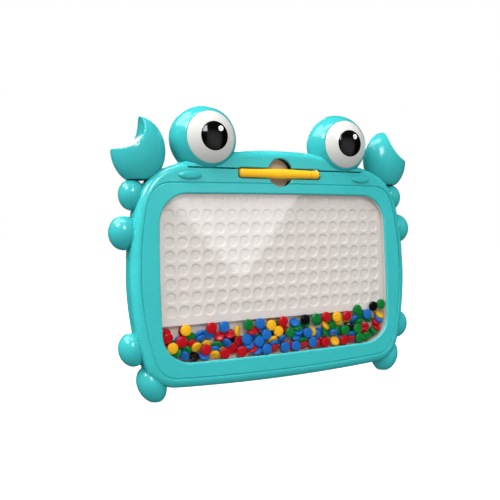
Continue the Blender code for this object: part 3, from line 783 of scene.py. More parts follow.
@dataclass
class Case:
    """Front bezel, crown cover and rear shell, swept round the case as rings that follow its outlines."""

    front_y: float = -6.5
    rim_r: float = 7.0
    back_y: float = 25.7
    back_rim_r: float = 13.0
    wall: float = 2.0
    seam_y: float = 9.5
    lip_r: float = 1.5
    plate_t: float = 1.5
    line_w: float = 0.9
    line_depth: float = 0.7
    edge_r: float = 0.45
    bay_edge_r: float = 0.9
    side: tuple[float, float, float] = (137.1, 101.0, 262.0)
    bottom: tuple[float, float, float] = (7.6, 1770.0, 28.0)
    shoulder: tuple[tuple[float, float], ...] = (
        (137.1, 101.0), (135.4, 131.0), (132.6, 150.0), (129.4, 164.0), (123.4, 177.6), (115.6, 186.4),
        (105.5, 192.7), (96.0, 196.0), (84.0, 199.2), (62.0, 204.6), (36.0, 208.9), (12.0, 210.2))
    crown_top: float = 210.2
    cut_z: float = 192.7
    cut_gap: float = 1.0
    cut_half_w: float = 87.0
    slot: tuple[float, float, float] = (41.4, 4.75, 2.2)
    well_r: float = 12.6
    well_z: float = 190.2
    cheek_at: tuple[float, float] = (85.8, 185.9)
    cheek_semi: tuple[float, float, float] = (10.3, 2.1, 3.5)
    screws: tuple[tuple[float, float], ...] = ((125.6, 62.0), (125.6, 132.0), (62.0, 17.9), (50.0, 186.0))
    rays: int = 560
    body: Plan = field(init=False)
    line: Plan = field(init=False)
    opening: Plan = field(init=False)

    def __post_init__(self) -> None:
        """Works out the widest outline, the pressed line and the window opening."""
        runs, side_c, low_side = lower_half(self.side, self.bottom)
        self.body = Plan.mirrored([*runs, arc(side_c, self.side[2], low_side, 0.0)[1:-1], spline(self.shoulder),
                                   np.array([(0.0, self.crown_top)])]).softened(3.0)
        self.line = barrel((129.4, 104.0, 256.0), (15.9, 1770.0, 20.5), 180.0).softened(1.5)
        self.opening = barrel((113.6, 95.0, 1500.0), (29.8, 4000.0, 25.0), 171.0).softened(1.0)

    def angles(self, count: int) -> Array:
        """Ray angles that bunch where the opening turns: even steps of its length plus a share of its turning."""
        outline = self.opening.points
        step = np.roll(outline, -1, axis=0) - outline
        heading = np.unwrap(np.arctan2(step[:, 1], step[:, 0]))
        turn = np.abs(np.diff(heading, append=heading[0] + TURN))
        total = np.cumsum(np.hypot(*step.T) / 18.0 + turn * 2.5)
        marks = (np.arange(count) + 0.5) / count * total[-1]
        spots = np.interp(marks, total, np.arange(len(outline)))
        rel = outline[np.round(spots).astype(int) % len(outline)] - np.array([0.0, CENTRE_Z])
        return np.sort(np.unwrap(np.arctan2(rel[:, 1], rel[:, 0])))

    def sweep(self, steps: Sequence[Ring], count: int) -> Array:
        """Rings of points for a list of (outline, distance inwards, depth)."""
        angles = self.angles(count)
        return np.stack([plan.ring(angles, inwards, y) for plan, inwards, y in steps])

    def front_steps(self) -> list[Ring]:
        """Rings of the front half, from the seam over the rim, pressed line and lip to the inner side."""
        body, line, opening, front = self.body, self.line, self.opening, self.front_y
        rim_y, edge, shelf = front + self.rim_r, self.seam_y - GAP / 2, front + self.plate_t + 0.15
        w, groove, lip = self.line_w, self.line_depth, self.lip_r
        return [(body, 0.45, edge), (body, 0.12, edge - 0.1), (body, 0.0, edge - 0.4), (body, 0.0, edge - 2.0),
                (body, 0.0, rim_y + 0.6),
                *bend(body, np.linspace(0, 90, 15), self.rim_r, rim_y, self.rim_r, -self.rim_r),
                (body, self.rim_r + 0.04, front),
                (line, -w - 0.05, front), (line, -w, front), (line, -w * 0.75, front + groove * 0.35),
                (line, -w * 0.45, front + groove), (line, -w * 0.2, front + groove),
                (line, w * 0.9, front + groove * 0.12), (line, w * 1.1, front), (line, w * 1.1 + 0.05, front),
                (opening, -lip - 0.05, front),
                *bend(opening, np.linspace(90, 0, 10), -lip, front + lip, -lip, -lip),
                (opening, -0.15, shelf), (opening, -5.6, shelf), (body, 5.2, front + 2.6), (body, self.wall, rim_y),
                (body, self.wall, edge)]

    def rear_steps(self) -> list[Ring]:
        """Rings of the rear bowl, from the middle of its back over the rim to the seam and back inside."""
        body, r, edge, rim_y = self.body, self.back_rim_r, self.seam_y + GAP / 2, self.back_y - self.back_rim_r
        outer = [(body, 0.45, edge), (body, 0.12, edge + 0.1), (body, 0.0, edge + 0.4), (body, 0.0, rim_y - 0.5),
                 *bend(body, np.linspace(0, 90, 15), r, rim_y, r, r), (body, r + 0.05, self.back_y)]
        return [*outer[::-1], (body, self.wall, edge), (body, self.wall, rim_y),
                *bend(body, [30, 60, 90], r, rim_y, r - self.wall, r - self.wall)]

    def envelope(self, grow: float) -> bpy.types.Mesh:
        """The whole case as one solid, a little larger, to seat the limbs."""
        steps = []
        front, back = self.front_y + self.rim_r, self.back_y - self.back_rim_r
        for r, y, way in ((self.rim_r, front, -1), (self.back_rim_r, back, 1)):
            steps += bend(self.body, np.linspace(0, 90, 10)[::way], r - grow, y, r, way * (r + grow))
        return Shape().solid(self.sweep(steps, 360)).mesh("envelope")

    def bay(self, grow: float) -> Array:
        """Outline of the pen slot with the round finger well across its middle, grown by a distance."""
        half_l, half_h, round_r = (value + grow for value in self.slot)
        well, middle = self.well_r + grow, (0.0, self.well_z)
        high = math.asin((PEN_Z + half_h - self.well_z) / well)
        low = math.asin((self.well_z - PEN_Z + half_h) / well)
        rows = []
        for start, x, z in ((270, 1, -1), (0, 1, 1), (90, -1, 1), (180, -1, -1)):
            if start == 90:
                rows.append(arc(middle, well, high, math.pi - high, 49))
            centre = (x * (half_l - round_r), PEN_Z + z * (half_h - round_r))
            rows.append(arc(centre, round_r, math.radians(start), math.radians(start + 90), 13))
        rows.append(arc(middle, well, math.pi + low, TURN - low, 49))
        return np.concatenate(rows)

    def flare(self, outline: Callable[[float], Array], back: float, r: float, sign: float = 1.0) -> bpy.types.Mesh:
        """A cutter whose outline opens by a quarter circle at the front face, so that the cut has a rounded edge.

        Args:
            outline: Gives the outline grown by a distance.
            back: Depth of its far end.
            r: Radius of the quarter circle.
            sign: 1 opens towards the front, -1 closes.

        Returns:
            The cutter's mesh.
        """
        turns = np.radians(np.linspace(0, 90, 7))
        depths = [self.front_y - 14.0, *(self.front_y + r * (1 - np.cos(turns))), back]
        return slab(depths, [outline(sign * grow) for grow in (r, *(r * (1 - np.sin(turns))), 0.0)])

    def crown_region(self, spare: float, grow: float) -> Array:
        """Rectangle above the parting line as far out as the eyes, with spare room and grown by a distance."""
        side = self.cut_half_w + min(spare, GAP) + grow
        return box(-side, side, self.cut_z + self.cut_gap / 2 - spare - grow, 240.0)

    def cheek(self, side: int) -> Shape:
        """A raised oval, steep at its border and flat on top."""
        share = np.sin(np.linspace(0.0, QUARTER, 22))[::-1][:, None]
        angles = np.linspace(0.0, TURN, 72, endpoint=False)[None, :]
        (x, z), (wide, high, tall) = self.cheek_at, self.cheek_semi
        height = high * (1 - share ** 3.2) ** 0.5 + np.zeros_like(angles)
        front = np.stack([side * x + wide * share * np.cos(angles), self.front_y - height,
                          z + tall * share * np.sin(angles)], -1)
        back = front[:1].copy()
        back[..., 1] = self.front_y + 0.8
        return Shape().solid(np.concatenate([back, front[:-1]]))

    def posts(self) -> list[bpy.types.Mesh]:
        """Counterbored holes for the rear screws."""
        hole = [(1.8, -5.5), (1.8, -22.7), (3.3, -22.7), (3.3, -25.4), (3.7, -25.75), (4.2, -29.0)]
        return [turned(hole, 48, along_y(side * x, 0.0, z)).mesh("bore") for x, z in self.screws for side, _ in SIDES]

    def build(self, finishes: Finishes) -> None:
        """Makes the three shells and the cheeks."""
        x, y, z = EYE_AT
        seats = [ball((side * x, y, z), (EYE_R + GAP,) * 3, 0.0, 120, 80) for side, _ in SIDES]
        front = Shape().grid(self.sweep(self.front_steps(), self.rays), wrap_rows=True).mesh("front")
        rear = Shape().solid(self.sweep(self.rear_steps(), self.rays)).mesh("rear")
        bay = self.flare(self.bay, 1.0, self.bay_edge_r)
        behind = self.seam_y + 3.0
        away = self.flare(lambda grow: self.crown_region(self.cut_gap, grow), behind, self.edge_r)
        keep = self.flare(lambda grow: self.crown_region(0.0, grow), behind, self.edge_r, -1.0)
        shells = (("case_front", carve(front, [away, bay, *seats]), "front_bezel"),
                  ("crown", carve(front, [bay, *seats], keep), "crown_cover"),
                  ("case_rear", carve(rear, [*self.posts(), *seats]), "rear_shell"))
        for name, mesh, node in shells:
            piece(name, mesh, finishes.teal, [node], flat_faces=True)
        for side, word in SIDES:
            piece(f"cheek_{word}", self.cheek(side), finishes.teal)


@dataclass
class Inside:
    """What is seen through the window: the sheet itself, the tray, the dimpled board and the floor of the pen bay."""

    case: Case
    window_t: float = 0.8
    tray_front_y: float = -3.6
    tray_back_y: float = 5.6
    tray_floor_t: float = 1.5
    land_y: float = -0.5
    board_t: float = 2.2
    board_bottom_z: float = 61.5
    columns: int = 19
    rows: int = 9
    top_row_columns: int = 15
    row_low_z: float = 73.0
    dimple_r: float = 5.15
    dimple_depth: float = 1.15
    squareness: float = 2.5
    cradle_y: float = 0.5
    well_floor_y: float = 3.2

    def window(self) -> Shape:
        """The sheet: two flat faces with a small chamfer between them."""
        plan, y, back = self.case.opening, WINDOW_Y, WINDOW_Y + self.window_t
        steps = [(plan, -4.3, y), (plan, -4.6, y + 0.2), (plan, -4.6, back - 0.2), (plan, -4.3, back)]
        return Shape().solid(self.case.sweep(steps, 320))

    def tray(self) -> Shape:
        """A shallow cup: outer wall, rounded front edge, inner wall, a fillet and the floor."""
        plan, front, fillet = self.case.opening, self.tray_front_y, 1.6
        foot = self.tray_back_y - self.tray_floor_t - fillet
        steps = [(plan, -1.7, self.tray_back_y), (plan, -2.2, self.tray_back_y - 0.5), (plan, -2.2, front + 0.3),
                 (plan, -2.0, front), (plan, -0.8, front), (plan, -0.6, front + 0.2), (plan, -0.6, foot),
                 *bend(plan, np.linspace(15, 90, 6), fillet - 0.6, foot, fillet, fillet)]
        return Shape().solid(self.case.sweep(steps, 360))

    def panel(self) -> Shape:
        """The board's face: square cells, each a fan of rings from its border to the floor of its dimple.

        A cell's border has sixteen points, and each ring has sixteen at the same bearings on a slightly squared
        circle. A dimple has a rounded brow, a wall and a rounded foot. Cells with no dimple have depth 0.
        """
        up = np.array([-0.5, 0, 0.5, 1, 1, 1, 1, 1, 0.5, 0, -0.5, -1, -1, -1, -1, -1])
        border = np.stack([np.roll(up, -4), up], 1) * PITCH / 2
        bearing = (np.arange(16) - 1) * TURN / 16
        circle = np.stack([np.cos(bearing), np.sin(bearing)], 1)
        circle /= (np.abs(circle) ** self.squareness).sum(1, keepdims=True) ** (1 / self.squareness)
        profile = [(1.0, 0.0), (0.94, 0.06), (0.88, 0.24), (0.83, 0.5), (0.77, 0.78), (0.69, 0.94), (0.56, 1.0)]
        flat = np.stack([border] + [circle * self.dimple_r * r for r, _ in profile])
        deep = np.array([0.0] + [d for _, d in profile]) * self.dimple_depth
        row_z = self.row_low_z + np.arange(self.rows) * PITCH
        column_x = (np.arange(self.columns) - (self.columns - 1) / 2) * PITCH
        spare = (self.columns - self.top_row_columns) // 2
        shape = Shape()
        for row in range(self.rows):
            for column in range(self.columns):
                bare = row == self.rows - 1 and not spare <= column < self.columns - spare
                x, z = flat[..., 0] + column_x[column], flat[..., 1] + row_z[row]
                y = self.land_y + deep[:, None] * (0.0 if bare else 1.0) + np.zeros_like(x)
                shape.grid(np.stack([x, y, z], -1), cap_last=True)
        return self._margin(shape, row_z, column_x)

    def _margin(self, shape: Shape, row_z: Array, column_x: Array) -> Shape:
        """Joins the cells' outer border to a larger rectangle, its side walls and a flat back."""
        half = PITCH / 2
        low, high, side = row_z[0] - half, row_z[-1] + half, column_x[-1] + half
        across, up = np.arange(-side, side, half / 2), np.arange(low, high, half / 2)
        ring = np.concatenate([np.stack([across, np.full(len(across), low)], 1),
                               np.stack([np.full(len(up), side), up], 1),
                               np.stack([-across, np.full(len(across), high)], 1),
                               np.stack([np.full(len(up), -side), high + low - up], 1)])
        outer = np.stack([ring[:, 0] * 120.0 / side, np.interp(ring[:, 1], (low, high), (50.0, 180.0))], 1)
        rows = [np.stack([o[:, 0], np.full(len(o), y), o[:, 1]], 1)
                for o, y in ((ring, self.land_y), (outer, self.land_y), (outer, self.land_y + self.board_t))]
        return shape.grid(np.stack(rows)[:, ::-1], cap_last=True)

    def board(self) -> bpy.types.Mesh:
        """The dimpled panel trimmed to the opening, with its ledge."""
        mesh = self.panel().mesh("board")
        weld(mesh)
        low = self.board_bottom_z
        outline = self.case.opening.ring(self.case.angles(320), -0.2, 0.0)[:, [0, 2]]
        outline[:, 1] = np.maximum(outline[:, 1], low)
        half = float(np.abs(outline[:, 0]).max()) - 0.6
        back = self.tray_back_y - self.tray_floor_t - GAP
        ledge = slab((self.land_y + 0.6, back), [box(-half, half, low, low + 2.0)])
        return carve(mesh, keep=slab((-12.0, 12.0), [outline]), add=ledge)

    def cradle(self) -> bpy.types.Mesh:
        """Floor of the pen slot with the round dish of the finger well sunk into it."""
        top, floor, dish_r = self.cradle_y, self.well_floor_y, self.case.well_r + 2.0
        profile = rounded([(0.2, -floor), (dish_r - 0.6, -floor), (dish_r, -top + 0.2), (dish_r + 0.4, 4.0),
                           (0.2, 4.0)], [0, min(floor - top, 2.2), 0, 0, 0], 8)
        dish = turned(profile, 96, along_y(0.0, 0.0, self.case.well_z)).mesh("dish")
        return carve(slab((top, floor + 4.0), [self.case.bay(0.6)]), [dish])

    def build(self, finishes: Finishes) -> None:
        """Makes the pieces."""
        piece("window", self.window(), finishes.clear, ["clear_window"], flat_faces=True)
        piece("tray", self.tray(), finishes.tray, ["bead_tray"], flat_faces=True)
        piece("board", self.board(), finishes.board, ["dot_board"], sharp=50.0, flat_faces=True)
        # The bay floor's colour holds painted bounce light from the yellow pen and painted shade.
        piece("pen_bay_floor", self.cradle(), finishes.bay, ["pen_cradle"], flat_faces=True)


# The crab -----------------------------------------------------------------------------------------------


@dataclass
class Eye:
    """One eye: a round socket with a white ball, a black pupil and a white glint set into it.

    Attributes:
        side: -1 for the left one, 1 for the right one.
        word: Its side in words.
    """

    side: int
    word: str
    back_semi: float = 16.2
    turn: float = math.radians(2.0)
    cut: float = 19.2
    pupil_r: float = 12.15
    pupil_t: float = 1.6
    glint_r: float = 2.3
    glint_at: tuple[float, float] = (5.0, 6.1)

    def frame(self) -> Matrix:
        """Local frame: +Z runs out of the pupil, turned a little inwards and downwards."""
        look = Vector((-self.side * math.sin(self.turn), -1.0, -math.sin(self.turn))).normalized()
        across = Vector((1.0, 0.0, 0.0))
        across = (across - across.dot(look) * look).normalized()
        turn = Matrix((across, look.cross(across), look)).transposed().to_4x4()
        return Matrix.Translation((self.side * EYE_AT[0], *EYE_AT[1:])) @ turn

    def glint_frame(self) -> Matrix:
        """Frame of the glint, on the pupil's surface up and to the right of its middle."""
        gx, gz = self.glint_at
        high = math.sqrt(EYE_R ** 2 - gx * gx - gz * gz)
        return Matrix.Translation((gx, 0.0, gz)) @ self.frame() @ Matrix.Translation((0.0, 0.0, high))

    def cap(self, low: float, high: float, steps: int) -> Array:
        """Profile of a slice of the ball: radius sine and cosine of evenly spaced polar angles."""
        angles = np.linspace(math.acos(low / EYE_R), math.acos(high / EYE_R), steps)
        return np.stack([EYE_R * np.sin(angles), EYE_R * np.cos(angles)], 1)

    def socket(self) -> Shape:
        """The turquoise ball: a turned profile whose rear half is then flattened in depth."""
        rim = math.sqrt(EYE_R ** 2 - self.cut ** 2)
        edge = [(rim - 0.05, self.cut - 0.12), (rim - 0.3, self.cut), (rim - 0.9, self.cut), (0.3, self.cut)]
        shape = turned(np.concatenate([self.cap(-EYE_R * 0.99999, self.cut - 0.35, 72), edge]), 128, self.frame())
        points, middle = shape.points[0], EYE_AT[1]
        behind = points[:, 1] > middle
        points[behind, 1] = middle + (points[behind, 1] - middle) * self.back_semi / EYE_R
        return shape

    def eyeball(self) -> Shape:
        """The white: a slice of the ball with soft edges and a recess for the pupil."""
        rim, low, r = math.sqrt(EYE_R ** 2 - self.pupil_r ** 2), self.cut + GAP, self.pupil_r
        outer = math.sqrt(EYE_R ** 2 - low ** 2)
        return turned(np.concatenate([
            [(0.3, low), (outer - 0.7, low), (outer - 0.25, low + 0.1)], self.cap(low + 0.45, rim - 0.08, 30),
            [(r + 0.02, rim - 0.06), (r - 0.05, rim - 0.2), (r - 0.05, rim - self.pupil_t),
             (0.3, rim - self.pupil_t)]]), 128, self.frame())

    def pupil(self) -> bpy.types.Mesh:
        """The pupil: a slice of the same ball with a round pocket for the glint."""
        floor = math.sqrt(EYE_R ** 2 - self.pupil_r ** 2) - self.pupil_t + GAP
        radius, bore = self.pupil_r - 0.2, self.glint_r + 0.12
        crest = math.sqrt(EYE_R ** 2 - radius ** 2)
        slope = self.cap(crest + 0.08, EYE_R * 0.99999, 24)
        profile = np.concatenate([[(0.2, floor), (radius, floor), (radius, crest - 0.1)], slope])
        pocket = turned([(bore, -1.3), (bore, 4.0)], 48, self.glint_frame())
        return carve(turned(profile, 96, self.frame()).mesh("pupil"), [pocket.mesh("pocket")])

    def build(self, finishes: Finishes) -> None:
        """Makes the eye's pieces."""
        word, g = self.word, self.glint_r
        piece(f"socket_{word}", self.socket(), finishes.teal, [f"eye_socket_{word}"])
        piece(f"white_{word}", self.eyeball(), finishes.eye_white, [f"eyeball_{word}"])
        piece(f"iris_{word}", self.pupil(), finishes.pupil, [f"pupil_{word}"])
        button = rounded([(0.75, -1.0), (g, -1.0), (g, 0.1), (0.75, 0.1)], [0, 0.1, 0.35, 0])
        ring = turned(np.concatenate([button, [(0.75, -0.05)]]), 48, self.glint_frame(), closed=True)
        piece(f"glint_ring_{word}", ring, finishes.glint, [f"glint_{word}"])
        dot = turned([(0.05, -1.0), (0.66, -1.0), (0.66, -0.04), (0.05, 0.0)], 32, self.glint_frame())
        piece(f"glint_dot_{word}", dot, finishes.glint_centre)


@dataclass
class Claw:
    """One claw: an ellipsoid with a round bite out of its upper outer side."""

    centre: tuple[float, float, float] = (125.3, 7.0, 207.0)
    semi: tuple[float, float, float] = (22.6, 17.0, 28.0)
    bite: tuple[float, float, float] = (143.0, 227.0, 20.5)
    flat_z: float = 182.6
    edge: float = 1.3
    foot_edge: float = 0.8
    sections: int = 122
    section_points: int = 96

    @staticmethod
    def soft_max(first: Array, second: Array, width: float) -> Array:
        """The greater of two values, blended where they are within a width of each other."""
        blend = np.maximum(width - np.abs(first - second), 0.0) / width
        return np.maximum(first, second) + blend * blend * width / 4

    def field(self, x: Array, y: Array | float, z: Array) -> Array:
        """Signed distance, roughly: a soft maximum of the ellipsoid, the bite's round wall and the flat foot."""
        u, v, w = ((value - middle) for value, middle in zip((x, y, z), self.centre))
        a, b, c = self.semi
        q = (u / a) ** 2 + (v / b) ** 2 + (w / c) ** 2
        slope = 2 * np.sqrt((u / a ** 2) ** 2 + (v / b ** 2) ** 2 + (w / c ** 2) ** 2) + 1e-6
        wall = self.bite[2] - np.hypot(x - self.bite[0], z - self.bite[1])
        return self.soft_max(self.soft_max((q - 1) / slope, wall, self.edge), self.flat_z - z, self.foot_edge)

    def span(self, bearing: Array) -> tuple[Array, Array]:
        """Where a ray from the bite's centre at a bearing enters and leaves the ellipsoid's middle plane."""
        a, c = self.semi[0], self.semi[2]
        ox, oz = (self.bite[0] - self.centre[0]) / a, (self.bite[1] - self.centre[2]) / c
        dx, dz = np.cos(bearing) / a, np.sin(bearing) / c
        qa, qb, qc = dx * dx + dz * dz, ox * dx + oz * dz, ox * ox + oz * oz - 1.0
        square = qb * qb - qa * qc
        root = np.where(square > 0, np.sqrt(np.maximum(square, 0.0)), np.nan)
        return np.maximum((-qb - root) / qa, self.bite[2]), (-qb + root) / qa

    def surface(self, side: int) -> Shape:
        """The claw as rows of sections through the bite's centre.

        Each section is a loop about its own middle, and the distance to the surface along each ray of the loop is
        found by halving an interval until the field changes sign.

        Args:
            side: -1 for the left one, 1 for the right one.

        Returns:
            The shape.
        """
        scan = np.linspace(math.pi * 0.55, math.pi * 2.1, 6000)
        near, far = self.span(scan)
        middle = (near + far) / 2
        inside = self.field(self.bite[0] + middle * np.cos(scan), self.centre[1], self.bite[1] + middle * np.sin(scan))
        good = scan[(far > near) & (inside < -0.02)]
        low, high = good.min(), good.max()
        share = (1 - np.cos(np.linspace(0.0, math.pi, self.sections))) / 2
        bearing = low + (high - low) * (0.35 * share + 0.65 * np.linspace(0, 1, self.sections))
        near, far = self.span(bearing)
        middle = (near + far) / 2
        loop = np.linspace(0.0, TURN, self.section_points, endpoint=False)
        cosine, sine = np.cos(bearing)[:, None], np.sin(bearing)[:, None]

        def at(reach: Array) -> tuple[Array, Array, Array]:
            """Points at a reach from the middle of each section."""
            along = middle[:, None] + reach * np.cos(loop)
            return self.bite[0] + along * cosine, self.centre[1] + reach * np.sin(loop), self.bite[1] + along * sine

        inner = np.zeros((len(bearing), len(loop)))
        outer = np.full_like(inner, 60.0)
        for _ in range(34):
            half = (inner + outer) / 2
            out = self.field(*at(half)) > 0
            outer = np.where(out, half, outer)
            inner = np.where(out, inner, half)
        x, y, z = at(outer)
        return Shape().solid(np.stack([x * side, y, z], -1))


@dataclass
class Limbs:
    """Claws, arms, legs and feet, each seated against the case. The balls are given as centre, semi-axes and lean."""

    arm: tuple[Any, ...] = ((131.0, 9.3, 170.5), (11.2, 12.0, 13.0), 0.0)
    upper: tuple[Any, ...] = ((138.9, 9.5, 139.5), (12.2, 13.0, 14.2), 0.0)
    lower: tuple[Any, ...] = ((134.5, 9.5, 44.0), (11.4, 12.5, 14.0), 12.0)
    foot: tuple[Any, ...] = ((119.7, 8.6, 14.2), (11.5, 14.0, 16.0), 25.0)
    arm_top: float = 182.3

    def build(self, finishes: Finishes, seat: bpy.types.Mesh) -> None:
        """Makes the two claws and the eight balls."""
        for side, word in SIDES:
            claw = carve(Claw().surface(side).mesh("claw"), [seat])
            piece(f"pincer_{word}", claw, finishes.teal, [f"claw_{word}"])
        for side, word in SIDES:
            for name, spec, cut in (("arm", self.arm, (self.arm_top, 260.0)), ("leg_upper", self.upper, None),
                                    ("leg_lower", self.lower, None), ("foot", self.foot, (-40.0, 0.0))):
                (x, y, z), semi, lean = spec
                cuts = [seat] + ([slab((-60.0, 80.0), [box(side * 80.0, side * 190.0, *cut)])] if cut else [])
                mesh = carve(ball((side * x, y, z), semi, lean), cuts)
                piece(f"{name}_ball_{word}", mesh, finishes.teal, [f"{name}_{word}"])


@dataclass
class Pen:
    """The yellow pen: a slim barrel that swells at its middle, a magnet and an end cap."""

    y: float = -4.6
    half_l: float = 40.2
    r: float = 3.8
    belly: float = 0.75
    belly_l: float = 15.0
    joint_x: float = 31.0
    nose_r: float = 2.4
    magnet_r: float = 2.4

    def build(self, finishes: Finishes) -> None:
        """Makes the three pieces, which ride on the pen's body."""
        place = Matrix.Translation((0.0, self.y, PEN_Z)) @ Matrix.Rotation(QUARTER, 4, "Y")
        r, half, n, j, m = self.r, self.half_l, self.nose_r, self.joint_x, self.magnet_r
        end = np.radians(np.linspace(4, 90, 14))
        nose = np.stack([r - n + n * np.sin(end), -half + n * (1 - np.cos(end))], 1)
        nose = nose[nose[:, 1] < -half + n]
        run = np.linspace(-half + n, j - 0.4, 90)
        swell = np.stack([r + self.belly * np.exp(-((run / self.belly_l) ** 2)), run], 1)
        socket = [(r - 0.1, j - 0.08), (r - 0.35, j), (2.75, j), (2.75, j - 5.0)]
        cap = [(2.7, j + 3.0), (2.7, j + GAP), (r - 0.35, j + GAP), (r - 0.1, j + GAP + 0.08), (r, j + GAP + 0.4),
               (r, half - n)]
        magnet = rounded([(0.2, j - 4.7), (m, j - 4.7), (m, j + 2.7), (0.2, j + 2.7)], [0, 0.3, 0.3, 0])
        pen = Body.PEN.value
        piece("barrel", turned(np.concatenate([nose, swell, socket]), 72, place), finishes.pen, ["pen_barrel"], pen)
        piece("magnet", turned(magnet, 48, place), finishes.steel, ["pen_magnet"], pen)
        tail = nose[::-1] * np.array([1.0, -1.0])
        piece("end_cap", turned(np.concatenate([cap, tail]), 72, place), finishes.pen, ["pen_cap"], pen)


@dataclass
class Screws:
    """Eight rear screws with cross recesses."""

    places: tuple[tuple[float, float], ...]
    seat_y: float = 23.0
    head_r: float = 3.0
    head_t: float = 1.8
    shank_r: float = 1.5
    length: float = 11.0
    bar_half_w: float = 0.42
    bar_reach: float = 1.75

    def shape(self, x: float, z: float) -> Shape:
        """A turned screw; the head's face is pressed in where two crossed bars pass, deeper towards the middle."""
        seat, r, top = self.seat_y, self.head_r, self.seat_y + self.head_t
        side = [(self.shank_r, self.length - seat), (self.shank_r, -seat + 0.05), (self.shank_r, -seat),
                (r - 0.1, -seat), (r, -seat - 0.1), (r, 0.7 - top), (r - 0.2, 0.3 - top), (r - 0.7, -top)]
        face = [(radius, -top) for radius in np.linspace(r - 0.8, 0.08, 12)]
        shape = turned(side + face, 64, along_y(x, 0.0, z))
        points = shape.points[0]
        u, w = points[:, 0] - x, points[:, 2] - z
        bar = np.minimum(np.abs(u), np.abs(w))
        press = np.clip((self.bar_half_w - bar) / 0.2, 0, 1) * np.clip((self.bar_reach - np.hypot(u, w)) / 0.5, 0, 1)
        points[:, 1] -= np.where(points[:, 1] > top - 0.05, press, 0.0)
        return shape

    def build(self, finishes: Finishes) -> None:
        """Makes the screws."""
        spots = [(side * x, z) for x, z in self.places for side, _ in SIDES]
        for number, (x, z) in enumerate(spots, 1):
            piece(f"screw_{number}", self.shape(x, z), finishes.zinc, [f"rear_screw_{number}"])


# Discs --------------------------------------------------------------------------------------------------


